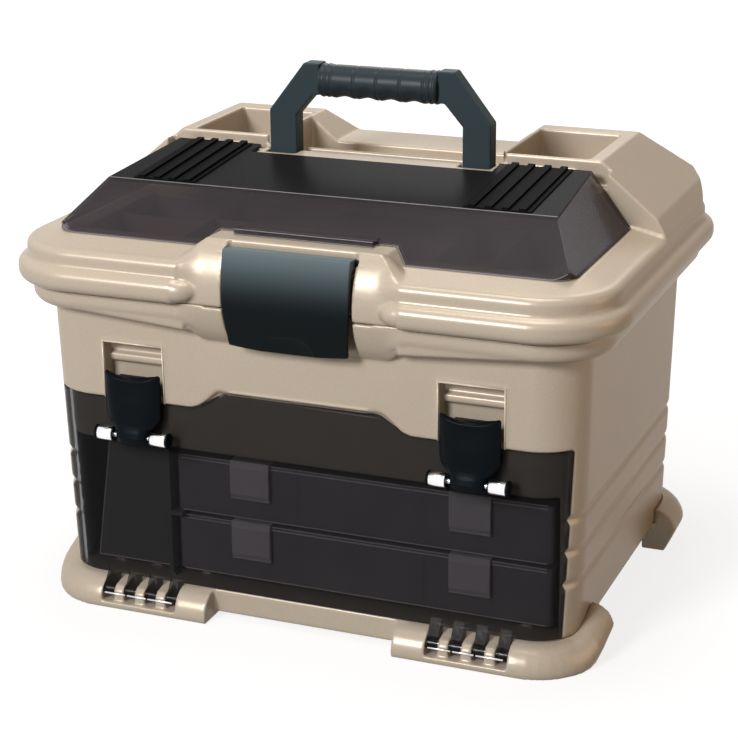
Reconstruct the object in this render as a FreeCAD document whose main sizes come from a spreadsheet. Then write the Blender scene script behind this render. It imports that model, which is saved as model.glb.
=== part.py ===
import FreeCAD, Part
import os
import Sketcher
from FreeCAD import Placement, Rotation, Vector

# Fishing tackle cabinet: a moulded carry box with a lift-up lid, a hatch over a lid organiser,
# a drop-down front door and two slide-out trays. Millimetres, +Z up, front of the box towards -Y,
# origin on the ground below the middle of the box.

os.makedirs("parts", exist_ok=True)
doc = FreeCAD.newDocument("tackle_cabinet")

# ---------------------------------------------------------------- driving dimensions

SIZES = {
    # moulded body
    "body_width": 400, "body_depth": 294, "corner_radius": 34, "wall_lean": 0.023, "wall": 3.2,
    "shell_bottom": 22, "split_height": 242, "split_gap": 0.8,
    "groove_first": 62.5, "groove_pitch": 24, "groove_count": 3, "groove_depth": 1.9, "groove_half": 4,
    # rim: collar on the body, bead and cap on the lid
    "collar_bottom": 221, "collar_reach": 15, "collar_round": 8,
    "bead_top": 260, "bead_reach": 25, "bead_round": 7,
    "cap_top": 273, "cap_reach": 18, "cap_round": 6,
    "deck_rise": 4.4, "deck_thickness": 3,
    # inside the body
    "shelf_height": 131, "shelf_thickness": 3, "ledge": 6, "bay_front_wall": 3.2, "front_post_depth": 40,
    "divider_place": -112, "divider_thickness": 3, "bay_half_width": 184,
    # door
    "door_thickness": 3, "door_gap": 0.6, "door_wrap": -130.5,
    "door_foot_clear": 22.6, "door_top": 175, "door_shoulder": 160.5, "door_crown_half": 57,
    "door_crown_foot": 80, "door_groove_from": 181,
    # door latches
    "latch_place": 126, "latch_width": 43, "latch_top": 183, "latch_thickness": 6,
    "latch_pivot_height": 136, "latch_tongue": 28, "latch_pivot_reach": 6.9, "latch_barrel": 5,
    "latch_lug_span": 56, "slot_lip": 1.6, "slot_lip_height": 0.9, "slot_width": 45.6,
    "slot_bottom": 160.9, "slot_top": 202.9, "slot_depth": 12,
    "small_pin": 2, "running_gap": 0.05, "side_gap": 0.4,
    # door hinge
    "hinge_height": 13, "hinge_reach": 150, "hinge_barrel": 4.7, "rod_radius": 1.5, "hinge_half": 29.8,
    # base and feet
    "base_bottom": 4, "base_plate_bottom": 18.5, "skirt_set_back": 0.5, "skirt_shelf": 7, "foot_inner": 79,
    "foot_side_length": 88, "foot_front_height": 21, "foot_front_reach": 15.2, "foot_side_height": 34,
    "foot_side_reach": 17.5, "foot_tuck": 9, "foot_front_tuck": 1, "foot_front_widest": 3,
    "foot_side_widest": 19, "foot_root": 9,
    # trays
    "tray_left": -107, "tray_width": 286, "tray_depth": 230, "tray_front": -125, "tray_height": 42.5,
    "tray_lowest": 27, "tray_pitch": 46.5, "tray_wall": 2, "tray_cover": 2.4, "tray_latch_width": 30,
    "tray_latch_height": 27, "tray_latch_spread": 83, "tray_rod": 1.2, "tray_corner": 5,
    "tray_rooms": 3, "tray_spaces": 4, "tray_barrel": 2.6, "tray_stagger": 6, "divider_sheet": 1.4,
    # side bin
    "bin_width": 60, "bin_depth": 190, "bin_height": 98, "bin_slant": 14,
    # lid house, wells and trough
    "house_front": 8, "house_crest": 122, "house_height": 322, "shoulder_height": 286,
    "crest_half": 165, "shoulder_half": 209, "well_inner": 93, "well_outer": 155, "well_front": 21,
    "well_back": 107, "well_floor": 290, "trough_half": 89.5, "trough_floor": 290, "trough_back": 93,
    "sill_height": 303.5, "sill_half": 68, "strip_front": -12, "strip_back": 24, "strip_height": 314,
    # hatch
    "hatch_half": 191, "hatch_front": -137, "hatch_corner": 18, "hatch_crest_half": 161,
    "hatch_crest_height": 317, "hatch_ridge": -95, "hatch_ridge_height": 309, "hatch_wall": 2.6,
    "hatch_gap": 0.4, "hatch_rear": 6.6, "opening_half": 178, "opening_front": -121,
    "notch_half": 79, "notch_top_half": 65, "notch_height": 286.4, "tab_half": 51,
    "hatch_pivot_y": 11, "hatch_pivot_z": 311, "hatch_barrel": 3.6, "knuckle_from": 98, "knuckle_pitch": 12,
    "pad_from": 100, "pad_to": 148, "rib_pitch": 12, "rib_width": 5, "rib_height": 1.6, "pad_plate": 1,
    # organiser under the hatch
    "organiser_gap": 4, "organiser_front_gap": 1.5, "organiser_back_gap": 2, "organiser_floor": 250,
    "organiser_wall": 2, "organiser_left_wall": -102, "organiser_right_wall": 84,
    "organiser_left_divider": -70, "organiser_middle_divider": -62, "organiser_right_divider": 124,
    # handle
    "handle_outer_half": 86, "handle_leg_width": 21, "handle_y": 13, "handle_depth": 14,
    "handle_pivot_height": 306, "handle_top": 380, "handle_knee_drop": 36, "handle_shoulder": 58,
    "handle_foot_drop": 7, "handle_pin": 3, "grip_radius": 12.5, "grip_half": 46, "bar_size": 13,
    # lid latch and its cheeks
    "cover_half": 46.5, "cover_low_half": 43.6, "cover_top": 284, "cover_bottom": 217,
    "cover_edge": 161, "cover_bulge": 166, "cover_thickness": 3.4, "cover_pivot_y": 151.5,
    "cover_pivot_z": 280, "cover_barrel": 3.6, "channel_half": 47.6, "channel_floor": 149.4,
    "cheek_half": 78, "cheek_face_half": 60, "cheek_bottom": 214, "cheek_top": 287.5, "cheek_reach": 163.5,
    "cheek_corner": 14, "rim_end": 5, "keeper_half": 18, "keeper_bottom": 222, "keeper_thickness": 4,
    # lid hinge at the back
    "lid_hinge_y": 167, "lid_hinge_z": 243, "lid_barrel": 5, "lid_hinge_place": 115, "lid_ear_half": 13,
    "lid_knuckle": 10, "lid_pin": 2,
}


class Size:
    """A length together with the sheet formula that it follows."""

    def __init__(self, value, formula=None):
        self.value = float(value)
        self.formula = formula or repr(float(value))

    def joined(self, other, sign, value):
        return Size(value, "(%s %s %s)" % (self.formula, sign, other.formula))

    def __add__(self, other):
        other = size(other)
        return self.joined(other, "+", self.value + other.value)

    def __sub__(self, other):
        other = size(other)
        return self.joined(other, "-", self.value - other.value)

    def __mul__(self, other):
        other = size(other)
        return self.joined(other, "*", self.value * other.value)

    def __truediv__(self, other):
        other = size(other)
        return self.joined(other, "/", self.value / other.value)

    def __radd__(self, other):
        return size(other) + self

    def __rsub__(self, other):
        return size(other) - self

    def __rmul__(self, other):
        return size(other) * self

    def __neg__(self):
        return size(0) - self


def size(value):
    return value if isinstance(value, Size) else Size(value)


class Sheet:
    """The spreadsheet's cells, read as Size values by their aliases."""

    def __init__(self, table):
        self.cells = doc.addObject("Spreadsheet::Sheet", "Sizes")
        for row, (alias, value) in enumerate(table.items(), start=1):
            self.cells.set("A%d" % row, alias)
            self.cells.set("B%d" % row, str(value))
            self.cells.setAlias("B%d" % row, alias)
            setattr(self, alias, Size(value, "Sizes." + alias))


S = Sheet(SIZES)
doc.recompute()

# ---------------------------------------------------------------- drawing helpers

ALONG = {
    "x": (Vector(1, 0, 0), Rotation(Vector(1, 1, 1), 120)),
    "y": (Vector(0, 1, 0), Rotation(Vector(1, 0, 0), 90)),
    "z": (Vector(0, 0, 1), Rotation()),
}
NODES = {}
BIG = size(600)      # longer than the box in every direction, for cutters that run right through
DIAGONAL = 1 - 0.5 ** 0.5      # how far the middle of a unit quarter arc lies from its corner's sides


def bind(item, prop, length):
    """Set a property to a length and let it follow the length's formula."""
    item.setExpression(prop, size(length).formula)


def outline(name, along, start, points):
    """A closed sketch across an axis. A point is (a, b), or (a, b, via_a, via_b) after an arc."""
    direction, turn = ALONG[along]
    sketch = doc.addObject("Sketcher::SketchObject", name)
    sketch.Placement = Placement(direction * size(start).value, turn)
    bind(sketch, "Placement.Base." + along, start)
    points = [[size(part) for part in point] for point in points]
    count = len(points)
    first_ends = []
    for index, point in enumerate(points):
        after = points[(index + 1) % count]
        here, there = (Vector(p[0].value, p[1].value, 0) for p in (point, after))
        first_ends.append(1)
        if len(after) == 4:
            via = Vector(after[2].value, after[3].value, 0)
            sketch.addGeometry(Part.Arc(here, via, there))
            if (via - here).cross(there - here).z < 0:
                first_ends[index] = 2      # a sketch keeps a clockwise arc with its ends exchanged
        else:
            sketch.addGeometry(Part.LineSegment(here, there))
    for index, point in enumerate(points):
        previous = (index - 1) % count
        first, last = first_ends[index], 3 - first_ends[previous]
        sketch.addConstraint(Sketcher.Constraint("Coincident", previous, last, index, first))
        pin_down(sketch, index, first, point[0], point[1])
        if len(point) == 4:
            via = sketch.addGeometry(Part.Point(Vector(point[2].value, point[3].value, 0)), True)
            sketch.addConstraint(Sketcher.Constraint("PointOnObject", via, 1, previous))
            pin_down(sketch, via, 1, point[2], point[3])
    return sketch


def pin_down(sketch, item, end, across, up):
    """Hold a sketch point at two coordinates that follow the sheet."""
    for kind, length in (("DistanceX", across), ("DistanceY", up)):
        place = sketch.addConstraint(Sketcher.Constraint(kind, -1, 1, item, end, length.value))
        if "Sizes" in length.formula:
            sketch.setExpression("Constraints[%d]" % place, length.formula)


def prism(name, along, start, end, points):
    """An outline pushed along an axis from start to end."""
    solid = doc.addObject("Part::Extrusion", name)
    solid.Base = outline(name + "_outline", along, start, points)
    solid.DirMode = "Custom"
    solid.Dir = ALONG[along][0]
    solid.Solid = True
    bind(solid, "LengthFwd", size(end) - size(start))
    return solid


def box(name, x, y, z):
    """A block between two places on each axis."""
    solid = doc.addObject("Part::Box", name)
    for side, axis, (low, high) in (("Length", "x", x), ("Width", "y", y), ("Height", "z", z)):
        bind(solid, side, size(high) - size(low))
        bind(solid, "Placement.Base." + axis, low)
    return solid


def rod(name, radius, x, y, z):
    """A round bar along X between two places, centred at y and z."""
    solid = doc.addObject("Part::Cylinder", name)
    solid.Placement = Placement(Vector(), Rotation(Vector(0, 1, 0), 90))
    bind(solid, "Radius", radius)
    bind(solid, "Height", size(x[1]) - size(x[0]))
    for axis, place in (("x", x[0]), ("y", y), ("z", z)):
        bind(solid, "Placement.Base." + axis, place)
    return solid


def cut(name, base, *tools):
    solid = doc.addObject("Part::Cut", name)
    solid.Base = base
    solid.Tool = tools[0] if len(tools) == 1 else fuse(name + "_tools", *tools)
    return solid


def fuse(name, *shapes):
    solid = doc.addObject("Part::MultiFuse", name)
    solid.Shapes = list(shapes)
    solid.Refine = True
    return solid


def common(name, *shapes):
    solid = doc.addObject("Part::MultiCommon", name)
    solid.Shapes = list(shapes)
    return solid


def other_side(name, shape):
    """The same piece on the other side of the box's middle plane."""
    solid = doc.addObject("Part::Mirroring", name)
    solid.Source = shape
    solid.Normal = Vector(1, 0, 0)
    return solid


def rounded(name, base, radius, wanted):
    """Round the edges of a shape that a test picks."""
    doc.recompute()
    picked = [number for number, edge in enumerate(base.Shape.Edges, start=1) if wanted(edge.BoundBox)]
    solid = doc.addObject("Part::Fillet", name)
    solid.Base = base
    solid.Edges = [(number, radius.value, radius.value) for number in picked]
    return solid


def at_height(z):
    """A test for edges that lie flat at one height."""
    return lambda bounds: abs(bounds.ZMin - z.value) < 0.01 and abs(bounds.ZMax - z.value) < 0.01


def stands_up(bounds):
    """A test for upright edges."""
    return bounds.XLength < 0.01 and bounds.YLength < 0.01


def both_sides(low, high):
    """The two spans along X, left and right of the middle plane, of a stretch given on the right."""
    return ((-size(high), -size(low)), (size(low), size(high)))


def node(name, shape):
    """Keep a finished piece under the name of its file."""
    shape.Label = name
    NODES[name] = shape
    return shape


def closed_plan(half_x, low_y, high_y, radius):
    """A rounded rectangle seen from above, centred on X, as outline points."""
    bend = radius * DIAGONAL
    right, left = half_x, -half_x
    return [
        (left + radius, low_y, left + bend, low_y + bend),
        (right - radius, low_y),
        (right, low_y + radius, right - bend, low_y + bend),
        (right, high_y - radius),
        (right - radius, high_y, right - bend, high_y - bend),
        (left + radius, high_y),
        (left, high_y - radius, left + bend, high_y - bend),
        (left, low_y + radius)]


def plan(grow, lean_from=None):
    """The body's rounded plan, grown outwards; lean_from is a height that the lean is taken at."""
    drop = size(0) if lean_from is None else (S.collar_bottom - lean_from) * S.wall_lean
    half_x = S.body_width / 2 + grow - drop
    half_y = S.body_depth / 2 + grow - drop
    return half_x, half_y, S.corner_radius + grow


def body_section(name, grow, z, leans=True):
    half_x, half_y, radius = plan(size(grow), size(z) if leans else None)
    return outline(name, "z", z, closed_plan(half_x, -half_y, half_y, radius))


def leaning(name, *stations, leans=True):
    """A block with the body's leaning walls through (grow, height) stations."""
    solid = doc.addObject("Part::Loft", name)
    solid.Sections = [body_section("%s_%d" % (name, index), *spot, leans)
                      for index, spot in enumerate(stations)]
    solid.Solid = True
    solid.Ruled = True
    return solid


def upright(name, grow, low, high):
    """A block with the body's plan, grown outwards, and upright walls."""
    half_x, half_y, radius = plan(size(grow))
    return prism(name, "z", low, high, closed_plan(half_x, -half_y, half_y, radius))

# ---------------------------------------------------------------- shared shapes

front_face = -S.body_depth / 2
lid_bottom = S.split_height + S.split_gap


def groove_cutters(name):
    """Rings that cut the V grooves round the lower body."""
    rings = []
    for index in range(SIZES["groove_count"]):
        middle = S.groove_first + S.groove_pitch * index
        low, high = middle - S.groove_half, middle + S.groove_half
        label = "%s_%d" % (name, index)
        core = leaning(label + "_core", (0, low), (-S.groove_depth, middle), (0, high))
        slab = upright(label + "_slab", 10, low, high)
        rings.append(cut(label, slab, core))
    return rings


def door_front_view(name, gap, bottom, start, end):
    """The door's outline seen from the front, grown by a gap, pushed along Y."""
    side = S.body_width / 2 + 10
    top, shoulder = S.door_top + gap, S.door_shoulder + gap
    return prism(name, "y", start, end, [
        (-side, bottom), (side, bottom), (side, shoulder), (S.door_crown_foot, shoulder),
        (S.door_crown_half, top), (-S.door_crown_half, top), (-S.door_crown_foot, shoulder),
        (-side, shoulder)])


# ---------------------------------------------------------------- cabinet shell

outer = leaning("shell_outer", (0, S.shell_bottom), (0, S.split_height))
collar = rounded("collar", upright("collar_block", S.collar_reach, S.collar_bottom, S.split_height),
                 S.collar_round, at_height(S.collar_bottom))
behind_posts = front_face + S.front_post_depth
bay_top = S.shelf_height
seat_grow = -S.door_thickness - S.door_gap
post_grow = seat_grow - S.bay_front_wall
bin_room = leaning("bulk_room", (-S.wall, S.slot_top + S.wall * 2), (-S.wall, S.split_height + 1))
low_room = leaning("low_room", (post_grow, S.shell_bottom - 1), (post_grow, S.slot_top + S.wall * 2 + 1))
side_room = common("side_room", leaning("side_room_block", (-S.wall, S.shell_bottom - 1),
                                        (-S.wall, S.slot_top + S.wall * 2 + 1)),
                   box("side_room_limit", (-BIG, BIG), (behind_posts, BIG), (-BIG, BIG)))
seat_ring = cut("seat_ring", upright("seat_block", 10, S.shell_bottom - 1, S.door_top + 5),
                leaning("seat_core", (seat_grow, S.shell_bottom - 2), (seat_grow, S.door_top + 6)))
seat = common("door_seat", seat_ring,
              door_front_view("seat_view", S.door_gap, S.shell_bottom - 5, -BIG, S.door_wrap + S.door_gap))
bay_mouth = box("bay_mouth", (-S.bay_half_width, S.bay_half_width), (-BIG, behind_posts),
                (S.shell_bottom - 1, bay_top - 4))
slot_boxes = []
slot_walls = []
slot_lips = []
catch_bars = []
for side, (left, right) in enumerate(both_sides(S.latch_place - S.slot_width / 2,
                                                S.latch_place + S.slot_width / 2)):
    slot_back = front_face + S.slot_depth
    slot_boxes.append(box("slot_%d" % side, (left, right), (-BIG, slot_back), (S.slot_bottom, S.slot_top)))
    slot_lips.append(common("slot_lip_%d" % side, leaning(
        "slot_lip_skin_%d" % side, (S.slot_lip_height, S.slot_bottom), (S.slot_lip_height, S.slot_top + 9)),
        box("slot_lip_block_%d" % side, (left - S.slot_lip, right + S.slot_lip), (-BIG, front_face + 5),
            (S.slot_bottom, S.slot_top + S.slot_lip))))
    slot_walls.append(common("slot_wall_%d" % side, outer, box(
        "slot_wall_block_%d" % side, (left - S.wall, right + S.wall), (-BIG, slot_back + S.wall),
        (S.slot_bottom - S.wall, S.slot_top + S.wall))))
    catch_bars.append(box("catch_bar_%d" % side, (left, right), (slot_back - 4, slot_back + 1),
                          (S.slot_top - 16, S.slot_top - 10)))
ledges = cut("shelf_ledges", leaning("ledge_block", (-1, bay_top - 4), (-1, bay_top)),
             leaning("ledge_hole", (post_grow - S.ledge, bay_top - 5), (post_grow - S.ledge, bay_top + 1)))

channel_gap = box("channel_gap", (-S.channel_half, S.channel_half), (-BIG, -S.channel_floor),
                  (S.cheek_bottom - 1, BIG))


def cheeks(name, low, high):
    """The barrel-shaped housing either side of the lid latch, between two heights."""
    middle = (S.cheek_bottom + S.cheek_top) / 2
    back = -S.body_depth / 2 + 1
    side_view = prism(name + "_side", "x", -S.cheek_half, S.cheek_half, [
        (back, S.cheek_bottom), (back, S.cheek_top),
        (back - 2, S.cheek_top),
        (back - 2, S.cheek_bottom, -S.cheek_reach, middle)])
    bend_x, bend_y = S.cheek_half - 2.5, -S.cheek_reach + 6
    top_view = prism(name + "_plan", "z", low, high, [
        (-S.cheek_half, back), (-S.cheek_face_half, -S.cheek_reach, -bend_x, bend_y),
        (S.cheek_face_half, -S.cheek_reach), (S.cheek_half, back, bend_x, bend_y)])
    corner, bend = S.cheek_corner, S.cheek_corner * DIAGONAL
    half, foot, head = S.cheek_half, S.cheek_bottom, S.cheek_top
    front_view = prism(name + "_front", "y", -BIG, back + 1, [
        (-half, foot + corner), (-half + corner, foot, -half + bend, foot + bend),
        (half - corner, foot), (half, foot + corner, half - bend, foot + bend),
        (half, head - corner), (half - corner, head), (-half + corner, head), (-half, head - corner)])
    return common(name, side_view, top_view, front_view)


def rim_end_cutter(name, low, high):
    """Takes the rim away in front of the lid latch and leaves its ends slanted."""
    near, far = S.notch_half - S.rim_end, S.notch_half + S.rim_end
    return prism(name, "z", low, high, [
        (-near, front_face - 1), (-far, front_face - S.bead_reach - 1),
        (far, front_face - S.bead_reach - 1), (near, front_face - 1)])


body_cheeks = cheeks("body_cheeks", S.cheek_bottom, S.split_height)
collar_break = rim_end_cutter("collar_break", S.collar_bottom - 1, S.split_height + 1)
latch_keeper = box("latch_keeper", (-S.keeper_half, S.keeper_half),
                   (-S.channel_floor - 2.6, -S.channel_floor + 1),
                   (S.keeper_bottom, S.keeper_bottom + S.keeper_thickness))
ears = []
for side, (left, right) in enumerate(both_sides(S.lid_hinge_place - S.lid_ear_half,
                                                S.lid_hinge_place + S.lid_ear_half)):
    barrel = rod("ear_barrel_%d" % side, S.lid_barrel, (left, right), S.lid_hinge_y, S.lid_hinge_z)
    web = prism("ear_web_%d" % side, "x", left, right, [
        (S.body_depth / 2 - 1, S.collar_bottom + 4), (S.lid_hinge_y + S.lid_barrel, S.lid_hinge_z - 3),
        (S.lid_hinge_y, S.lid_hinge_z), (S.lid_hinge_y - 4, S.split_height),
        (S.body_depth / 2 - 1, S.split_height)])
    ears.append(fuse("ear_%d" % side, barrel, web))
lid_pin_spans = both_sides(S.lid_hinge_place - S.lid_ear_half - S.side_gap - S.lid_knuckle,
                           S.lid_hinge_place + S.lid_ear_half + S.side_gap + S.lid_knuckle)
pin_bores = [rod("lid_pin_bore_%d" % side, S.lid_pin + S.running_gap, (left - 0.1, right + 0.1),
                 S.lid_hinge_y, S.lid_hinge_z) for side, (left, right) in enumerate(lid_pin_spans)]

collar_open = cut("collar_open", collar, collar_break)
shell_solid = fuse("shell_solid", fuse("shell_collared", outer, collar_open), body_cheeks)
hollow = cut("shell_hollow", shell_solid, fuse("rooms", bin_room, low_room, side_room), channel_gap)
dressed = fuse("shell_dressed", hollow, *slot_walls, *slot_lips, ledges, latch_keeper, *ears)
shell = cut("cabinet_shell_cut", dressed, seat, bay_mouth, *slot_boxes, *pin_bores,
            *groove_cutters("groove"))
node("cabinet_shell", fuse("cabinet_shell", shell, *catch_bars))


# ---------------------------------------------------------------- base with its feet

def foot_profile(reach, height, widest, tuck, inner):
    """A foot's section as (outward, up) points: sole below the ground, tucked side, rounded top."""
    top = height - 1
    return [(inner, -1), (reach - tuck, -1), (reach, widest),
            (0, height, reach * 0.72, widest + (top - widest) * 0.7), (inner, height)]


def foot_wire(place, outward, profile):
    """The section standing on the ground at a place of the wall, facing outwards."""
    spots = [place + outward * point[0] + Vector(0, 0, point[1]) for point in profile]
    edges = []
    for index, spot in enumerate(spots):
        following = (index + 1) % len(spots)
        if len(profile[following]) == 4:
            via = place + outward * profile[following][2] + Vector(0, 0, profile[following][3])
            edges.append(Part.Arc(spot, via, spots[following]).toShape())
        else:
            edges.append(Part.LineSegment(spot, spots[following]).toShape())
    return Part.Wire(edges)


def mixed(start, end, share):
    return start + (end - start) * share


def foot_shape(end_x, end_y, front):
    """A corner foot of the right-hand side, from end_x along the wall round to end_y on the side."""
    drop = (S.collar_bottom.value - S.shell_bottom.value) * S.wall_lean.value
    half_x, half_y = S.body_width.value / 2 - drop, S.body_depth.value / 2 - drop
    radius = S.corner_radius.value
    centre = Vector(half_x - radius, -(half_y - radius), 0)
    blend_from, blend_to = 62.0, 118.0      # the turn round the corner where front form becomes side form

    def wire(place, outward, share):
        reach = mixed(S.foot_front_reach.value, S.foot_side_reach.value, share)
        height = mixed(S.foot_front_height.value, S.foot_side_height.value, share)
        widest = mixed(S.foot_front_widest.value, S.foot_side_widest.value, share)
        tuck = mixed(S.foot_front_tuck.value, S.foot_tuck.value, share)
        return foot_wire(place, outward, foot_profile(reach, height, widest, tuck, -S.foot_root.value))

    def share_at(turn):
        return max(0.0, (turn - blend_from) / (blend_to - blend_from)) if front else 1.0

    wires = [wire(Vector(end_x, -half_y, 0), Vector(0, -1, 0), share_at(0))]
    for turn in range(0, 91, 10):
        outward = Rotation(Vector(0, 0, 1), turn).multVec(Vector(0, -1, 0))
        wires.append(wire(centre + outward * radius, outward, share_at(turn)))
    wires.append(wire(Vector(half_x, -end_y, 0), Vector(1, 0, 0), share_at(blend_to)))
    return Part.makeLoft(wires, True, True)


front_foot = doc.addObject("Part::Feature", "front_foot")
front_foot.Shape = foot_shape(S.foot_inner.value - 8, S.foot_side_length.value, True)
rear_foot_front_way = doc.addObject("Part::Feature", "rear_foot_turned")
rear_foot_front_way.Shape = foot_shape(S.foot_inner.value, S.foot_side_length.value, False)
rear_foot = doc.addObject("Part::Mirroring", "rear_foot")
rear_foot.Source = rear_foot_front_way
rear_foot.Normal = Vector(0, 1, 0)
foot_end = prism("foot_end", "z", -1, S.shell_bottom + 1, [
    (S.foot_inner - 20, -BIG), (S.foot_inner + 8, -BIG), (S.foot_inner - 8, front_face + 12),
    (S.foot_inner - 20, front_face + 12)])
right_front_foot = cut("right_front_foot", front_foot, foot_end)

plate = cut("base_plate", leaning("plate_block", (-1, S.base_plate_bottom), (-1, S.shell_bottom)),
            common("plate_front", cut("plate_ring", upright("plate_ring_block", 10, 10, S.shell_bottom + 1),
                                      leaning("plate_core", (seat_grow, 9),
                                              (seat_grow, S.shell_bottom + 2))),
                   box("plate_front_limit", (-BIG, BIG), (-BIG, S.door_wrap + S.door_gap), (-BIG, BIG))))
skirt_face = front_face + (S.collar_bottom - S.base_bottom) * S.wall_lean + S.skirt_set_back
skirt = fuse("skirt", box("skirt_face", (-S.foot_inner, S.foot_inner), (skirt_face, skirt_face + S.wall),
                          (S.base_bottom, S.shell_bottom)),
             box("skirt_shelf", (-S.foot_inner, S.foot_inner), (skirt_face, skirt_face + S.skirt_shelf),
                 (S.base_plate_bottom, S.shell_bottom)))
hinge_gap = [box("hinge_gap_%d" % side, (left, right), (-BIG, front_face + 10.5), (5, S.shell_bottom + 2))
             for side, (left, right) in enumerate(both_sides(S.latch_place - S.hinge_half,
                                                             S.latch_place + S.hinge_half))]
hinge_y, hinge_z = -S.hinge_reach, S.hinge_height
FINGERS = 7
finger_pitch = S.hinge_half * 2 / FINGERS
base_fingers, door_fingers = [], []
for side, place in enumerate((-S.latch_place, S.latch_place)):
    for index in range(FINGERS):
        left = place - S.hinge_half + finger_pitch * index + S.side_gap / 2
        right = left + finger_pitch - S.side_gap
        label = "hinge_finger_%d_%d" % (side, index)
        if index % 2:
            base_fingers.append(prism(label, "x", left, right, [
                (front_face + 12, 4.5), (hinge_y - 4.6, 4.5), (hinge_y - 4.6, hinge_z),
                (hinge_y - 1, hinge_z + 4), (front_face + 12, S.shell_bottom - 2)]))
        else:
            inner_face = front_face + (S.collar_bottom - S.shell_bottom) * S.wall_lean + S.door_thickness
            arm = prism(label + "_arm", "x", left, right, [
                (hinge_y, hinge_z - S.hinge_barrel), (inner_face - 2, hinge_z - 1),
                (inner_face - 0.2, S.door_foot_clear), (inner_face - 0.5, S.door_foot_clear + 7),
                (inner_face - S.door_thickness + 0.3, S.door_foot_clear + 7),
                (hinge_y, hinge_z + S.hinge_barrel)])
            door_fingers.append(fuse(label, arm, rod(label + "_barrel", S.hinge_barrel, (left, right),
                                                     hinge_y, hinge_z)))
rod_bores = [rod("door_rod_bore_%d" % side, S.rod_radius + S.running_gap, span, hinge_y, hinge_z)
             for side, span in enumerate(both_sides(S.latch_place - S.hinge_half,
                                                    S.latch_place + S.hinge_half))]
rails = [box("floor_rail_%d" % index, (middle - 4, middle + 4),
             (S.tray_front + 4, S.tray_front + S.tray_depth),
             (S.shell_bottom - 1, S.tray_lowest - 0.3))
         for index, middle in enumerate((S.tray_left + 20, S.tray_left + S.tray_width - 20,
                                         S.divider_place - 16, S.divider_place - S.bin_width + 14))]
base_solid = fuse("base_solid", plate, skirt, right_front_foot,
                  other_side("left_front_foot", right_front_foot), rear_foot,
                  other_side("left_rear_foot", rear_foot))
ground = box("ground", (-BIG, BIG), (-BIG, BIG), (-10, 0))
base_rails = fuse("base_railed", cut("base_clear", base_solid, outer, ground, *hinge_gap),
                  *base_fingers, *rails)
node("base_frame", cut("base_frame", base_rails, *rod_bores))

node("door_hinge_rods", fuse("door_hinge_rods", *[
    rod("door_rod_%d" % side, S.rod_radius, (left + 0.4, right - 0.4), hinge_y, hinge_z)
    for side, (left, right) in enumerate(both_sides(S.latch_place - S.hinge_half,
                                                    S.latch_place + S.hinge_half))]))
node("lid_hinge_pins", fuse("lid_hinge_pins", *[
    rod("lid_pin_%d" % side, S.lid_pin, (left, right), S.lid_hinge_y, S.lid_hinge_z)
    for side, (left, right) in enumerate(lid_pin_spans)]))

# ---------------------------------------------------------------- shelf, divider and rails inside

node("bulk_shelf", leaning("bulk_shelf", (post_grow - 0.3, bay_top),
                           (post_grow - 0.3, bay_top + S.shelf_thickness)))

bay_front, bay_back = S.tray_front - 6, S.tray_front + S.tray_depth + 24
upper_rail = S.tray_lowest + S.tray_pitch - 0.3
divider = fuse("divider_solid",
               box("divider_wall", (S.divider_place, S.divider_place + S.divider_thickness),
                   (bay_front, bay_back), (S.shell_bottom, bay_top - 0.1)),
               box("divider_rail", (S.divider_place, S.tray_left + 7), (bay_front, bay_back - 24),
                   (upper_rail - 3, upper_rail)),
               box("divider_foot", (S.divider_place, S.divider_place + 4.4), (bay_front, bay_back),
                   (S.shell_bottom, S.shell_bottom + 3)))
node("bay_divider", divider)
rail_wall = S.tray_left + S.tray_width + 1.6
node("side_rail", fuse("side_rail",
                       box("rail_wall", (rail_wall, rail_wall + 2.4), (bay_front + 24, bay_back),
                           (S.shell_bottom, bay_top - 4.3)),
                       box("rail_flange", (rail_wall - 8, rail_wall + 1), (bay_front + 24, bay_back - 24),
                           (upper_rail - 3, upper_rail))))

# ---------------------------------------------------------------- door

door_bottom = S.shell_bottom + S.door_gap
door_ring = cut("door_ring", leaning("door_outside", (0, door_bottom - 4), (0, S.door_top + 4)),
                leaning("door_inside", (-S.door_thickness, door_bottom - 5),
                        (-S.door_thickness, S.door_top + 5)))
past_side = S.body_width / 2 + 10
door_view = prism("door_view", "y", -BIG, S.door_wrap, [
    (-past_side, S.door_foot_clear), (-S.foot_inner + 9, S.door_foot_clear),
    (-S.foot_inner + 14, door_bottom), (S.foot_inner - 14, door_bottom),
    (S.foot_inner - 9, S.door_foot_clear), (past_side, S.door_foot_clear),
    (past_side, S.door_shoulder), (S.door_crown_foot, S.door_shoulder), (S.door_crown_half, S.door_top),
    (-S.door_crown_half, S.door_top), (-S.door_crown_foot, S.door_shoulder), (-past_side, S.door_shoulder)])
door_skin = common("door_skin", door_ring, door_view)


def wall_at(z):
    """How far forward the body's front wall stands at a height."""
    return front_face + (S.collar_bottom - z) * S.wall_lean


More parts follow.
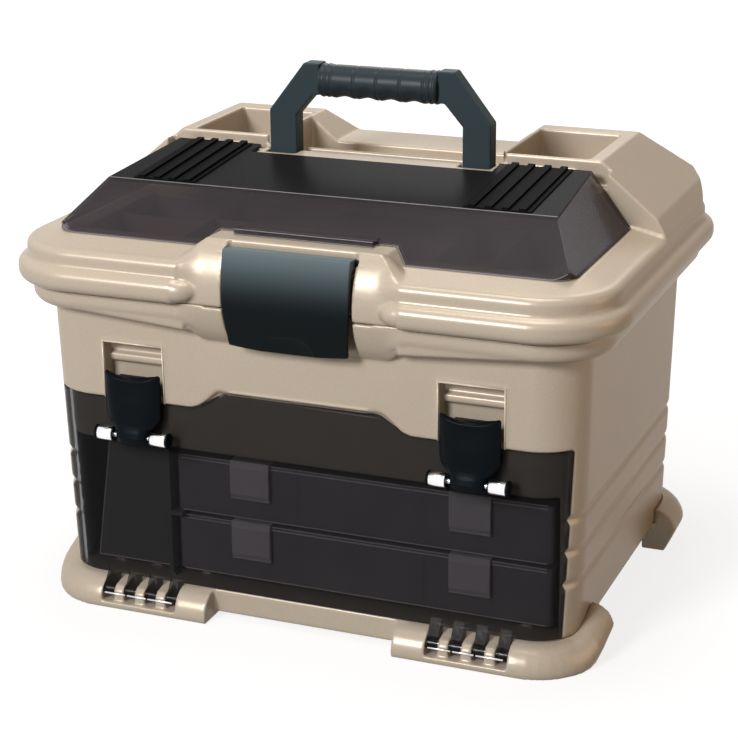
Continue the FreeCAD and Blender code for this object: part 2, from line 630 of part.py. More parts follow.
pivot_y, pivot_z = wall_at(S.latch_pivot_height) - S.latch_pivot_reach, S.latch_pivot_height
lugs = []
for label, place in (("left", -S.latch_place), ("right", S.latch_place)):
    for end, low, high in (("a", -S.latch_lug_span / 2, -S.latch_tongue / 2 - S.side_gap),
                           ("b", S.latch_tongue / 2 + S.side_gap, S.latch_lug_span / 2)):
        span = (place + low, place + high)
        tag = "lug_%s_%s" % (label, end)
        lugs.append(rod(tag, S.latch_barrel, span, pivot_y, pivot_z))
        lugs.append(box(tag + "_web", span, (pivot_y, wall_at(pivot_z) + S.door_thickness / 2),
                        (pivot_z - 4, pivot_z + 4)))
latch_bore = rod("latch_bore", S.small_pin + S.running_gap, (-BIG, BIG), pivot_y, pivot_z)
door_grooves = [common("door_groove_%d" % index, ring, fuse("door_groove_reach_%d" % index, *[
    box("door_groove_reach_%d_%d" % (index, end), span, (-BIG, BIG), (-BIG, BIG))
    for end, span in enumerate(both_sides(S.door_groove_from, BIG))]))
    for index, ring in enumerate(groove_cutters("door_ring_groove"))]
door_built = fuse("door_built", door_skin, *lugs, *door_fingers)
node("door_panel", cut("door_panel", door_built, latch_bore, *rod_bores, *door_grooves))
node("door_latch_pins", fuse("door_latch_pins", *[
    rod("latch_pin_%d" % side, S.small_pin, (left, right), pivot_y, pivot_z)
    for side, (left, right) in enumerate(both_sides(S.latch_place - S.latch_lug_span / 2,
                                                    S.latch_place + S.latch_lug_span / 2))]))


def door_latch(name, place):
    """A latch that hangs on the door's lugs and closes over the slot in the body."""
    back = wall_at(S.slot_bottom) - 1.9
    front = back - S.latch_thickness
    half = S.latch_width / 2
    hand = prism(name + "_hand", "x", place - half, place + half, [
        (back, pivot_z + 6.5), (front, pivot_z + 6.5), (front - 1.2, pivot_z + 24), (front, S.latch_top),
        (back, S.latch_top)])
    thumb = prism(name + "_thumb", "y", front - 5, back + 1, [
        (place - half - 1, S.latch_top + 5), (place - half - 1, S.latch_top),
        (place + half + 1, S.latch_top, place, S.latch_top - 2.8), (place + half + 1, S.latch_top + 5)])
    tip = S.latch_pivot_reach - S.side_gap
    tongue = prism(name + "_tongue", "x", place - S.latch_tongue / 2, place + S.latch_tongue / 2, [
        (back, pivot_z + 8), (front, pivot_z + 8), (pivot_y - tip, pivot_z),
        (pivot_y + tip, pivot_z, pivot_y, pivot_z - tip)])
    nib = box(name + "_nib", (place - 12, place + 12), (back - 0.5, back + 6),
              (S.latch_top - 8, S.latch_top - 4))
    return cut(name, fuse(name + "_solid", cut(name + "_grip", hand, thumb), tongue, nib), latch_bore)


node("door_latch_left", door_latch("door_latch_left", -S.latch_place))
node("door_latch_right", door_latch("door_latch_right", S.latch_place))

# ---------------------------------------------------------------- trays and side bin


def tray(name, floor):
    """A flat utility box: base with fixed ribs, loose dividers, cover on a back hinge rod, two latches."""
    left, right = S.tray_left, S.tray_left + S.tray_width
    front, back = S.tray_front, S.tray_front + S.tray_depth
    middle = (left + right) / 2
    top = floor + S.tray_height
    rim = top - S.tray_cover
    wall = S.tray_wall
    shell_box = rounded(name + "_rounded", box(name + "_block", (left, right), (front, back), (floor, rim)),
                        S.tray_corner, stands_up)
    room_width = (S.tray_width - wall) / S.tray_rooms
    spans = [(left + wall + room_width * index, left + room_width * (index + 1))
             for index in range(SIZES["tray_rooms"])]
    rooms = [box("%s_room_%d" % (name, index), span, (front + wall, back - wall), (floor + wall, rim + 1))
             for index, span in enumerate(spans)]
    hinge_rod_y, hinge_rod_z = back + 3, rim - 0.4
    barrels = {"base": [], "cover": []}
    pitch = S.tray_width / 7
    for index in range(1, 6):
        low = left + pitch * index
        owner = "cover" if index % 2 == 0 else "base"
        barrel = rod("%s_barrel_%d" % (name, index), S.tray_barrel, (low, low + pitch - S.side_gap),
                     hinge_rod_y, hinge_rod_z)
        web_z = (rim - 6, rim - 0.4) if owner == "base" else (rim + 0.1, rim + 2)
        web = box("%s_web_%d" % (name, index), (low, low + pitch - S.side_gap),
                  (back - 1, hinge_rod_y), web_z)
        barrels[owner] += [barrel, web]
    bore = rod(name + "_bore", S.tray_rod + S.running_gap, (left - 5, right + 5), hinge_rod_y, hinge_rod_z)
    node(name + "_base", cut(name + "_base", fuse(name + "_base_solid", cut(
        name + "_hollow", shell_box, *rooms), *barrels["base"]), bore))
    cover_plate = rounded(name + "_plate_rounded", box(name + "_plate", (left, right), (front, back),
                                                       (rim + 0.1, top)), S.tray_corner, stands_up)
    lips = [box("%s_lip_%d" % (name, index), (low + 0.4, high - 0.4),
                (front + wall + 0.4, back - wall - 0.4), (rim - 1.6, rim + 0.2))
            for index, (low, high) in enumerate(spans)]
    node(name + "_cover", cut(name + "_cover", fuse(
        name + "_cover_solid", cover_plate, *lips, *barrels["cover"]), bore))
    node(name + "_rod", rod(name + "_rod", S.tray_rod, (left + pitch, left + pitch * 6),
                            hinge_rod_y, hinge_rod_z))
    latches = []
    for index, place in enumerate((middle - S.tray_latch_spread, middle + S.tray_latch_spread)):
        span = (place - S.tray_latch_width / 2, place + S.tray_latch_width / 2)
        latches.append(prism("%s_latch_%d" % (name, index), "x", span[0], span[1], [
            (front - 0.1, top - S.tray_latch_height), (front - 0.1, top + 0.1), (front + 6, top + 0.1),
            (front + 6, top + 1.6), (front - 2.2, top + 1.6), (front - 3.6, top - 3),
            (front - 3.6, top - S.tray_latch_height + 4), (front - 2.2, top - S.tray_latch_height)]))
    node(name + "_latches", fuse(name + "_latches", *latches))
    room_depth = S.tray_depth - wall * 2
    dividers = []
    for room, (low, high) in enumerate(spans):
        for index in range(1, SIZES["tray_spaces"]):
            place = front + wall + room_depth * index / S.tray_spaces + S.tray_stagger * (room - 1)
            dividers.append(box("%s_divider_%d_%d" % (name, room, index), (low + 0.3, high - 0.3),
                                (place, place + S.divider_sheet), (floor + wall + 0.1, rim - 2)))
    node(name + "_dividers", fuse(name + "_dividers", *dividers))


tray("tray_lower", S.tray_lowest)
tray("tray_upper", S.tray_lowest + S.tray_pitch)

bin_right = S.divider_place - 1.5
bin_left = bin_right - S.bin_width
bin_top = S.tray_lowest + S.bin_height
bin_back = S.tray_front + S.bin_depth
bin_wall = S.tray_wall
node("side_bin", cut("side_bin", prism("bin_block", "y", S.tray_front, bin_back, [
    (bin_left, S.tray_lowest), (bin_right, S.tray_lowest), (bin_right, bin_top),
    (bin_left + S.bin_slant, bin_top)]),
    prism("bin_room", "y", S.tray_front + bin_wall, bin_back - bin_wall, [
        (bin_left + bin_wall, S.tray_lowest + bin_wall), (bin_right - bin_wall, S.tray_lowest + bin_wall),
        (bin_right - bin_wall, bin_top + 1), (bin_left + S.bin_slant + bin_wall, bin_top + 1)])))

# ---------------------------------------------------------------- lid shell

well_spans = both_sides(S.well_inner, S.well_outer)


def house(name, shrink):
    """The raised rear part of the lid, drawn in by shrink on every face."""
    half = S.body_width / 2 + S.cap_reach - 2 - shrink
    back = S.body_depth / 2 + S.cap_reach - 2 - shrink
    low = S.cap_top - 5 if shrink.value == 0 else lid_bottom - 1
    shoulder, crest = S.shoulder_height - shrink, S.house_height - shrink
    crest_half = S.crest_half - shrink * 0.5
    shoulder_half = S.shoulder_half - shrink
    front = S.house_front + shrink
    shoulder_back = back - (S.body_width / 2 + S.cap_reach - 2 - S.shoulder_half)
    across = prism(name + "_across", "y", front, back, [
        (-half, low), (half, low), (half, S.cap_top), (shoulder_half, shoulder), (crest_half, crest),
        (-crest_half, crest), (-shoulder_half, shoulder), (-half, S.cap_top)])
    along = prism(name + "_along", "x", -half, half, [
        (front, low), (back, low), (back, S.cap_top), (shoulder_back, shoulder),
        (S.house_crest - shrink * 0.5, crest), (front, crest)])
    return common(name, across, along, upright(name + "_plan", S.cap_reach - 2 - shrink, low, crest + 1))


def block_with_walls(name, x, y, floor, walls):
    """A recess's block down to its floor; walls thickens it on every side but the top."""
    return box(name, (x[0] - walls, x[1] + walls), (y[0] - walls, y[1] + walls), (floor - walls, BIG))


def sill(name, walls):
    """The lowered stretch of the house's rear edge between the two towers."""
    foot, top = S.sill_half + walls, S.well_inner - 2 + walls
    floor = S.sill_height - walls
    return prism(name, "y", S.trough_back - 1 - walls, BIG, [
        (-foot, floor), (foot, floor), (top, S.house_height + 0.5), (top, S.house_height + 20),
        (-top, S.house_height + 20), (-top, S.house_height + 0.5)])


def recesses(name, walls):
    """The two pocket wells, the handle trough, the sill and the hatch hinge slots."""
    parts = [sill(name + "_sill", walls),
             box(name + "_over_strip", (-S.well_inner + walls, S.well_inner - walls),
                 (S.house_front - 1, S.strip_back + 1), (S.strip_height, BIG)),
             block_with_walls(name + "_trough", (-S.trough_half, S.trough_half),
                              (S.strip_back, S.trough_back), S.trough_floor, walls)]
    for side, span in enumerate(well_spans):
        parts.append(block_with_walls("%s_well_%d" % (name, side), span, (S.well_front, S.well_back),
                                      S.well_floor, walls))
    for side, span in enumerate(both_sides(S.well_inner, S.crest_half + 7)):
        parts.append(block_with_walls("%s_slot_%d" % (name, side), span,
                                      (S.house_front - 5, S.hatch_pivot_y + 7.2),
                                      S.hatch_pivot_z - 7, walls))
    return parts


bead = rounded("bead", upright("bead_block", S.bead_reach, lid_bottom, S.bead_top), S.bead_round,
               lambda bounds: at_height(lid_bottom)(bounds) or at_height(S.bead_top)(bounds))
cap = rounded("cap", upright("cap_block", S.cap_reach, lid_bottom, S.cap_top), S.cap_round,
              at_height(S.cap_top))
deck_top = S.cap_top + S.deck_rise
deck = leaning("deck", (S.cap_reach - 7, S.bead_top), (S.cap_reach - 7, S.cap_top), (-8, deck_top),
               leans=False)
rim_break = rim_end_cutter("rim_break", lid_bottom - 1, S.cap_top + 0.5)
rim = cut("lid_rim", fuse("lid_rim_solid", bead, cap, deck), rim_break)
rim_room = cut("rim_room", upright("rim_room_block", 6, lid_bottom - 1, S.cap_top - S.deck_thickness),
               box("rim_room_front", (-S.notch_half - 3, S.notch_half + 3), (-BIG, front_face + 2),
                   (-BIG, BIG)))
house_outside = house("house", size(0))
house_room = house("house_room", S.wall)
liners = common("liners", house_outside, fuse("liner_blocks", *recesses("liner", S.wall)))
strip_half = S.well_inner
strip = box("handle_strip", (-strip_half, strip_half), (S.strip_front, S.strip_back + 1),
            (S.cap_top - 1, S.strip_height))
strip_room = box("strip_room", (-strip_half + S.wall, strip_half - S.wall),
                 (S.strip_front + S.wall, S.strip_back - S.wall), (lid_bottom, S.handle_pivot_height - 15))
latch_house = prism("latch_house", "y", front_face - 3, S.opening_front - 1, [
    (-S.notch_half, S.cap_top - 1), (S.notch_half, S.cap_top - 1), (S.notch_half, S.cap_top + 1),
    (S.notch_top_half, S.notch_height), (-S.notch_top_half, S.notch_height),
    (-S.notch_half, S.cap_top + 1)])
lid_cheeks = cheeks("lid_cheeks", lid_bottom, S.cheek_top)
pivot_pocket = box("pivot_pocket", (-S.channel_half, S.channel_half),
                   (-BIG, front_face - 0.4), (S.cover_pivot_z - 11, BIG))
leg_notches = [box("leg_notch_%d" % side, span, (S.handle_y - S.handle_depth, S.strip_back + 2),
                   (S.handle_pivot_height - 11.5, BIG))
               for side, span in enumerate(both_sides(
                   S.handle_outer_half - S.handle_leg_width - 1.5, S.handle_outer_half + 1.5))]
handle_bores = [rod("handle_bore_%d" % side, S.handle_pin + S.running_gap, span, S.handle_y,
                    S.handle_pivot_height)
                for side, span in enumerate(both_sides(
                    S.handle_outer_half - S.handle_leg_width - 5, S.handle_outer_half + 5))]
opening = box("deck_opening", (-S.opening_half, S.opening_half), (S.opening_front, S.strip_front - 1),
              (lid_bottom, deck_top + 1))
hinge_zones, lid_knuckles = [], []
reach = S.lid_ear_half + S.side_gap + S.lid_knuckle
for side, place in enumerate((-S.lid_hinge_place, S.lid_hinge_place)):
    hinge_zones.append(box("hinge_zone_%d" % side, (place - reach - 0.6, place + reach + 0.6),
                           (S.lid_hinge_y - 12, BIG), (lid_bottom - 1, S.lid_hinge_z + S.lid_barrel + 0.8)))
    for end, low in (("a", -reach), ("b", S.lid_ear_half + S.side_gap)):
        span = (place + low, place + low + S.lid_knuckle)
        tag = "lid_knuckle_%d_%s" % (side, end)
        lid_knuckles.append(rod(tag, S.lid_barrel, span, S.lid_hinge_y, S.lid_hinge_z))
        lid_knuckles.append(box(tag + "_web", span, (S.lid_hinge_y - 3, S.lid_hinge_y + S.lid_barrel - 1),
                                (S.lid_hinge_z, S.lid_hinge_z + S.lid_barrel + 4)))
hatch_pin_spans = both_sides(S.knuckle_from - 2 - S.wall / 2, S.knuckle_from + S.knuckle_pitch * 5)
hatch_bores = [rod("hatch_bore_%d" % side, S.rod_radius + S.running_gap, (left - 0.1, right + 0.1),
                   S.hatch_pivot_y, S.hatch_pivot_z) for side, (left, right) in enumerate(hatch_pin_spans)]
lid_hinge_fingers, hatch_knuckles = [], []
for side, sign in enumerate((-1, 1)):
    for index in range(5):
        near = S.knuckle_from + S.knuckle_pitch * index + S.side_gap / 2
        far = near + S.knuckle_pitch - S.side_gap
        span = (near, far) if sign > 0 else (-far, -near)
        tag = "hatch_finger_%d_%d" % (side, index)
        barrel = rod(tag + "_barrel", S.hatch_barrel, span, S.hatch_pivot_y, S.hatch_pivot_z)
        if index % 2:
            web = box(tag + "_web", span, (S.hatch_pivot_y, S.hatch_pivot_y + 8),
                      (S.hatch_pivot_z - 8, S.hatch_pivot_z + 2))
            lid_hinge_fingers.append(fuse(tag, barrel, web))
        else:
            arm = prism(tag + "_arm", "x", span[0], span[1], [
                (S.hatch_rear - 5, S.hatch_crest_height - 2.9),
                (S.hatch_rear - 5, S.hatch_crest_height - 0.6),
                (S.hatch_pivot_y, S.hatch_pivot_z + S.hatch_barrel),
                (S.hatch_pivot_y, S.hatch_pivot_z - S.hatch_barrel),
                (S.hatch_pivot_y - 3.6, S.hatch_pivot_z)])
            hatch_knuckles.append(fuse(tag, barrel, arm))

lid_solid = cut("lid_hollow", fuse("lid_solid", rim, house_outside, strip), rim_room, house_room,
                strip_room)
lid_lined = fuse("lid_lined", lid_solid, liners, latch_house, lid_cheeks)
lid_cut = cut("lid_cut", lid_lined, *recesses("recess", size(0)), channel_gap, pivot_pocket, *leg_notches,
              opening, *hinge_zones)
lid_fingered = fuse("lid_fingered", lid_cut, *lid_knuckles, *lid_hinge_fingers)
cover_bore = rod("cover_bore", S.small_pin + S.running_gap, (-S.channel_half - 5, S.channel_half + 5),
                 -S.cover_pivot_y, S.cover_pivot_z)
node("lid_shell", cut("lid_shell", lid_fingered, *handle_bores, *pin_bores, *hatch_bores, cover_bore))
node("handle_pins", fuse("handle_pins", *[
    rod("handle_pin_%d" % side, S.handle_pin, span, S.handle_y, S.handle_pivot_height)
    for side, span in enumerate(both_sides(S.handle_outer_half - S.handle_leg_width - 4.8,
                                           S.handle_outer_half + 4.8))]))
node("hatch_hinge_pins", fuse("hatch_hinge_pins", *[
    rod("hatch_pin_%d" % side, S.rod_radius, span, S.hatch_pivot_y, S.hatch_pivot_z)
    for side, span in enumerate(hatch_pin_spans)]))
node("lid_latch_pin", rod("lid_latch_pin", S.small_pin, (-S.channel_half - 4.8, S.channel_half + 4.8),
                          -S.cover_pivot_y, S.cover_pivot_z))

# ---------------------------------------------------------------- organiser under the hatch

organiser_rim = deck_top - 1
organiser_half = S.opening_half - S.organiser_gap
organiser_front = S.opening_front + S.organiser_front_gap
organiser_back = S.strip_front - 1 - S.organiser_back_gap
organiser_block = box("organiser_block", (-organiser_half, organiser_half),
                      (organiser_front, organiser_back), (S.organiser_floor, organiser_rim))
walls_x = [-organiser_half, S.organiser_left_wall, S.organiser_right_wall,
           organiser_half - S.organiser_wall]
organiser_room = box("organiser_room", (walls_x[0] + S.organiser_wall, walls_x[3]),
                     (organiser_front + S.organiser_wall, organiser_back - S.organiser_wall),
                     (S.organiser_floor + S.organiser_wall, BIG))
flanges = [box("organiser_flange_%d" % side, span, (organiser_front + 2, organiser_back),
               (deck_top, deck_top + 1.6)) for side, span in enumerate(both_sides(organiser_half - 1,
                                                                                 S.opening_half + 5))]
hangers = [box("organiser_hanger_%d" % side, span, (organiser_front + 2, organiser_back),
               (organiser_rim - 2, deck_top + 1)) for side, span in enumerate(both_sides(
                   organiser_half - S.organiser_wall, organiser_half))]
node("lid_organiser", fuse("lid_organiser", cut("organiser_tub", organiser_block, organiser_room),
                           *hangers, *flanges))
loose = size(0.3)
clear_wall = S.organiser_wall + loose


def slot_at(place):
    """The thickness of a loose divider, from its place."""
    return place, place + S.divider_sheet


front_to_back = (organiser_front + clear_wall, organiser_back - clear_wall)
organiser_plates = (
    ((walls_x[0] + clear_wall, walls_x[1] - loose), slot_at(S.organiser_left_divider)),
    ((walls_x[1] + clear_wall, walls_x[2] - loose), slot_at(S.organiser_middle_divider)),
    (slot_at(S.organiser_right_divider), front_to_back),
    ((walls_x[1], walls_x[1] + S.organiser_wall), front_to_back),
    ((walls_x[2], walls_x[2] + S.organiser_wall), front_to_back))
plate_heights = (S.organiser_floor + S.organiser_wall + 0.1, organiser_rim - 1)
node("organiser_dividers", fuse("organiser_dividers", *[
    box("organiser_divider_%d" % index, x, y, plate_heights)
    for index, (x, y) in enumerate(organiser_plates)]))

# ---------------------------------------------------------------- hatch


def hatch_block(name, inset):
    """The hatch's outer form, or its inner room when drawn in by inset."""
    low = deck_top + S.hatch_gap if inset.value == 0 else deck_top - 3
    slope = (S.hatch_half - S.hatch_crest_half) / (S.hatch_crest_height - deck_top)
    crest = S.hatch_crest_height + 1
    foot_half = S.hatch_half - inset + slope * (deck_top - low)
    crest_half = S.hatch_crest_half - inset - slope
    rear = S.hatch_rear + 1 if inset.value else S.hatch_rear
    across = prism(name + "_across", "y", S.hatch_front, rear, [
        (-foot_half, low), (foot_half, low), (crest_half, crest), (-crest_half, crest)])
    along = prism(name + "_along", "x", -S.hatch_half, S.hatch_half, [
        (S.hatch_front + inset, low), (rear, low), (rear, S.hatch_crest_height - inset),
        (S.hatch_ridge + inset * 0.4, S.hatch_ridge_height - inset),
        (S.hatch_front + inset * 1.2, deck_top + S.hatch_gap + 0.2)])
    corner = S.hatch_corner
    bend = corner * DIAGONAL
    half, front = S.hatch_half - inset, S.hatch_front + inset
    above = prism(name + "_above", "z", low, crest, [
        (-half, front + corner), (-half + corner, front, -half + bend, front + bend),
        (half - corner, front), (half, front + corner, half - bend, front + bend), (half, rear),
        (-half, rear)])
    return common(name, across, along, above)


hatch_shell = cut("hatch_shell", hatch_block("hatch_outside", size(0)),
                  hatch_block("hatch_room", S.hatch_wall))
hatch_notch = prism("hatch_notch", "y", -BIG, S.hatch_front + 27, [
    (-S.notch_half - 0.8, deck_top - 1), (S.notch_half + 0.8, deck_top - 1),
    (S.notch_half + 0.8, S.cap_top + 1.6), (S.notch_top_half + 0.6, S.notch_height + 0.6),
    (-S.notch_top_half - 0.6, S.notch_height + 0.6),
    (-S.notch_half - 0.8, S.cap_top + 1.6)])
strip_gap = box("hatch_strip_gap", (-strip_half - 0.6, strip_half + 0.6),
                (S.strip_front - S.hatch_gap, BIG), (-BIG, BIG))
hatch_tab = box("hatch_tab", (-S.tab_half, S.tab_half), (S.hatch_front + 4, S.hatch_front + 20.5),
                (S.notch_height + 0.6, S.notch_height + 4))
hatch_open = fuse("hatch_open", cut("hatch_notched", hatch_shell, hatch_notch, strip_gap), hatch_tab,
                  *hatch_knuckles)
node("hatch_window", cut("hatch_window", hatch_open, *hatch_bores))

pad_slope = (S.hatch_crest_height - S.hatch_ridge_height) / (S.hatch_rear - S.hatch_ridge)


def on_hatch(name, x, thick):
    """A strip lying on the hatch's top, from near the ridge to near the rear edge."""
    front, back = S.hatch_ridge + 2, S.hatch_rear - 2.6
    low = S.hatch_ridge_height + pad_slope * (front - S.hatch_ridge)
    high = S.hatch_ridge_height + pad_slope * (back - S.hatch_ridge)
    return prism(name, "x", x[0], x[1], [
        (front, low), (back, high), (back, high + thick), (front, low + thick)])


pads = []
for side, sign in enumerate((-1, 1)):
    span = (S.pad_from, S.pad_to) if sign > 0 else (-S.pad_to, -S.pad_from)
    rib_starts = [span[0] + 3.5 + S.rib_pitch * index for index in range(4)]
    ribs = [on_hatch("pad_rib_%d_%d" % (side, index), (start, start + S.rib_width),
                     S.pad_plate + S.rib_height) for index, start in enumerate(rib_starts)]
    pads.append(fuse("pad_%d" % side, on_hatch("pad_plate_%d" % side, span, S.pad_plate), *ribs))
node("hatch_grip_pads", fuse("hatch_grip_pads", *pads))

# ---------------------------------------------------------------- handle

leg_in = S.handle_outer_half - S.handle_leg_width
leg_foot = S.handle_pivot_height - S.handle_foot_drop
knee = S.handle_top - S.handle_knee_drop
grip_z = S.handle_top - S.grip_radius
bar_half = S.bar_size / 2
frame_y = (S.handle_y - S.handle_depth / 2, S.handle_y + S.handle_depth / 2)


def handle_side(sign):
    """The right or left half of the handle's outline, from the leg's foot up to the bar."""
    def there(x, z):
        return (x * sign, z)
    return [there(leg_in, leg_foot), there(leg_in + 4, leg_foot - 1),
            there(S.handle_outer_half - 4, leg_foot - 1), there(S.handle_outer_half, leg_foot),
            there(S.handle_outer_half, knee), there(S.handle_shoulder, S.handle_top),
            there(S.grip_half, S.handle_top), there(S.grip_half, grip_z + bar_half)]


def handle_inside(sign):
    inner_knee = knee - 3
    return [(leg_in * sign, inner_knee), ((S.handle_shoulder - 7) * sign, grip_z - S.grip_radius + 2),
            (S.grip_half * sign, grip_z - S.grip_radius + 2), (S.grip_half * sign, grip_z - bar_half)]


handle_outline = (handle_side(1) + handle_side(-1)[::-1] + handle_inside(-1) + handle_inside(1)[::-1])
handle_blank = prism("handle_blank", "y", frame_y[0], frame_y[1], handle_outline)
node("handle_frame", cut("handle_frame", handle_blank, *handle_bores))

grip_bumps = 4
grip_points = [(-S.grip_half, size(0)), (-S.grip_half, S.grip_radius), (-S.grip_half + 4, S.grip_radius),
               (-S.grip_half + 6, S.grip_radius - 0.8)]
bump_pitch = (S.grip_half * 2 - 12) / grip_bumps
for index in range(grip_bumps):
    start = -S.grip_half + 6 + bump_pitch * index
    grip_points.append((start + bump_pitch, S.grip_radius - 0.8,
                        start + bump_pitch / 2, S.grip_radius - 0.1))
grip_points += [(S.grip_half - 4, S.grip_radius), (S.grip_half, S.grip_radius), (S.grip_half, size(0))]
grip_turned = doc.addObject("Part::Revolution", "grip_turned")
grip_turned.Source = outline("grip_outline", "y", 0, grip_points)
grip_turned.Axis = Vector(1, 0, 0)
grip_turned.Angle = 360
grip_turned.Solid = True
bind(grip_turned, "Placement.Base.y", S.handle_y)
bind(grip_turned, "Placement.Base.z", grip_z)
node("handle_grip", cut("handle_grip", grip_turned, box(
    "grip_core", (-S.grip_half - 1, S.grip_half + 1), frame_y, (grip_z - bar_half, grip_z + bar_half))))

# ---------------------------------------------------------------- lid latch

cover_middle = (S.cover_top + S.cover_bottom) / 2
cover_inner_edge = -S.cover_edge + S.cover_thickness
cover_skin = prism("cover_skin", "x", -S.cover_half, S.cover_half, [
    (cover_inner_edge, S.cover_bottom), (-S.cover_edge, S.cover_bottom),
    (-S.cover_edge, S.cover_top, -S.cover_bulge, cover_middle), (cover_inner_edge, S.cover_top)])
cover_hollow = prism("cover_hollow", "x", -BIG, BIG, [
    (cover_inner_edge + 10, S.cover_bottom - 1), (cover_inner_edge, S.cover_bottom - 1),
    (cover_inner_edge, S.cover_top - 3, -S.cover_bulge + S.cover_thickness, cover_middle),
    (cover_inner_edge + 10, S.cover_top - 3)])
cover_view = prism("cover_view", "y", -BIG, 0, [
    (-S.cover_low_half, S.cover_bottom), (S.cover_low_half, S.cover_bottom),
    (S.cover_half, cover_middle), (S.cover_half, S.cover_top),
    (-S.cover_half, S.cover_top), (-S.cover_half, cover_middle)])
cover_hub = prism("cover_hub", "x", -S.cover_half, S.cover_half, [
    (-S.cover_edge, S.cover_top), (-S.cover_pivot_y, S.cover_pivot_z + S.cover_barrel),
    (-S.cover_pivot_y, S.cover_pivot_z - S.cover_barrel),
    (-S.cover_edge - 1, S.cover_pivot_z - S.cover_barrel - 1)])
cover_roll = rod("cover_roll", S.cover_barrel, (-S.cover_half, S.cover_half),
                 -S.cover_pivot_y, S.cover_pivot_z)
keeper_top = S.keeper_bottom + S.keeper_thickness
cover_hook = box("cover_hook", (-S.keeper_half + 2, S.keeper_half - 2),
                 (-S.cover_bulge + 2, -S.channel_floor - 3.2), (keeper_top + 1, keeper_top + 5))
cover_plate = common("cover_plate", cut("cover_bent", cover_skin, cover_hollow), cover_view)
cover_built = fuse("cover_built", cover_plate, cover_hub, cover_roll, cover_hook)
node("lid_latch_cover", cut("lid_latch_cover", cover_built, cover_bore))

# ---------------------------------------------------------------- check and write

doc.recompute()
for item in doc.Objects:
    if "Invalid" in item.State or "Error" in item.State:
        raise RuntimeError("failed: %s %s" % (item.Name, item.State))
    if item.TypeId == "Part::MultiFuse":
        if item.Shape.Volume < 0.999 * max(part.Shape.Volume for part in item.Shapes):
            raise RuntimeError("a joined piece was lost: " + item.Name)
for name, piece in NODES.items():
    if piece.Shape.isNull() or not piece.Shape.isValid():
        raise RuntimeError("bad shape: " + name)
    piece.Shape.exportStep("parts/%s.step" % name)
    bounds = piece.Shape.BoundBox
    print("%-20s solids %2d volume %10.0f  x %.1f %.1f y %.1f %.1f z %.1f %.1f" % (
        name, len(piece.Shape.Solids), piece.Shape.Volume, bounds.XMin, bounds.XMax, bounds.YMin,
        bounds.YMax, bounds.ZMin, bounds.ZMax))
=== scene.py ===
import math
import bmesh
import bpy
from mathutils import Matrix, Vector


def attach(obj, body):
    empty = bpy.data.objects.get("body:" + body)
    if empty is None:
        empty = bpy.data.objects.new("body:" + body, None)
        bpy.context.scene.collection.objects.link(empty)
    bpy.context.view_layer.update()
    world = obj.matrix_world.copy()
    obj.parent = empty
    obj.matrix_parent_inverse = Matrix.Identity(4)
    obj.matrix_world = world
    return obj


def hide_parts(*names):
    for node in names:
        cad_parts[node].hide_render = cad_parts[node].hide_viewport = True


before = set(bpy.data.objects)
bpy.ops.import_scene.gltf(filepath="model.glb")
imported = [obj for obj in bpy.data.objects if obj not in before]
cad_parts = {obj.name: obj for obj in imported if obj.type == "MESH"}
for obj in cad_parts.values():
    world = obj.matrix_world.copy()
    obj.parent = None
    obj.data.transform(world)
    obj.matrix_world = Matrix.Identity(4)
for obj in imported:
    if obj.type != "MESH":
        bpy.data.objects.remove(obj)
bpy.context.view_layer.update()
scene = bpy.context.scene
scene.view_settings.view_transform = "Standard"


# ---------------------------------------------------------------- studio
# A pale floor that runs into a white background, a large soft lamp high at the front left,
# one overhead, a small one behind for the top edges, and a faint amber one on the right.
CAMERA_PLACE = Vector((0.53828, -1.34792, 0.64698))
CAMERA_TARGET = Vector((-0.00599, 0.0, 0.15254))
CAMERA_LENS = 99.49
CAMERA_ROLL = -0.008
WORLD_FILL = 0.11
FILL_COLOUR = (1.0, 0.80, 0.58, 1)
WHITE = (1, 1, 1, 1)
FLOOR_HALF = 6.0
FLOOR_COLOUR = (0.20, 0.195, 0.19, 1)
SHADE_RADIUS, WHITE_RADIUS = 0.25, 0.7      # where the floor starts and ends its run to white
SHADE_LIFT, WHITE_LIFT = 0.82, 1.0

camera = bpy.data.objects.new("camera", bpy.data.cameras.new("camera"))
scene.collection.objects.link(camera)
camera.data.lens = CAMERA_LENS
camera.data.clip_start = 0.05
ahead = (CAMERA_TARGET - CAMERA_PLACE).normalized()
across = ahead.cross(Vector((0, 0, 1))).normalized()
upward = across.cross(ahead)
rolled_across = math.cos(CAMERA_ROLL) * across + math.sin(CAMERA_ROLL) * upward
rolled_upward = math.cos(CAMERA_ROLL) * upward - math.sin(CAMERA_ROLL) * across
turn = Matrix((rolled_across, rolled_upward, -ahead)).transposed()
camera.matrix_world = Matrix.Translation(CAMERA_PLACE) @ turn.to_4x4()
scene.camera = camera


def new_nodes(owner, kind="ShaderNodeOutputMaterial"):
    """A material's or world's empty node tree, as (nodes, links, output)."""
    owner.use_nodes = True
    tree = owner.node_tree
    tree.nodes.clear()
    return tree.nodes, tree.links, tree.nodes.new(kind)


def show_two(nodes, links, output, lit, seen):
    """The seen shader for the camera, for gloss and through clear plastic, else the lit one."""
    rays = nodes.new("ShaderNodeLightPath")
    direct = nodes.new("ShaderNodeMath")
    direct.operation = "MAXIMUM"
    through = nodes.new("ShaderNodeMath")
    through.operation = "MAXIMUM"
    pick = nodes.new("ShaderNodeMixShader")
    links.new(rays.outputs["Is Camera Ray"], direct.inputs[0])
    links.new(rays.outputs["Is Glossy Ray"], direct.inputs[1])
    links.new(direct.outputs[0], through.inputs[0])
    links.new(rays.outputs["Is Transmission Ray"], through.inputs[1])
    links.new(through.outputs[0], pick.inputs[0])
    links.new(lit.outputs[0], pick.inputs[1])
    links.new(seen.outputs[0], pick.inputs[2])
    links.new(pick.outputs[0], output.inputs["Surface"])


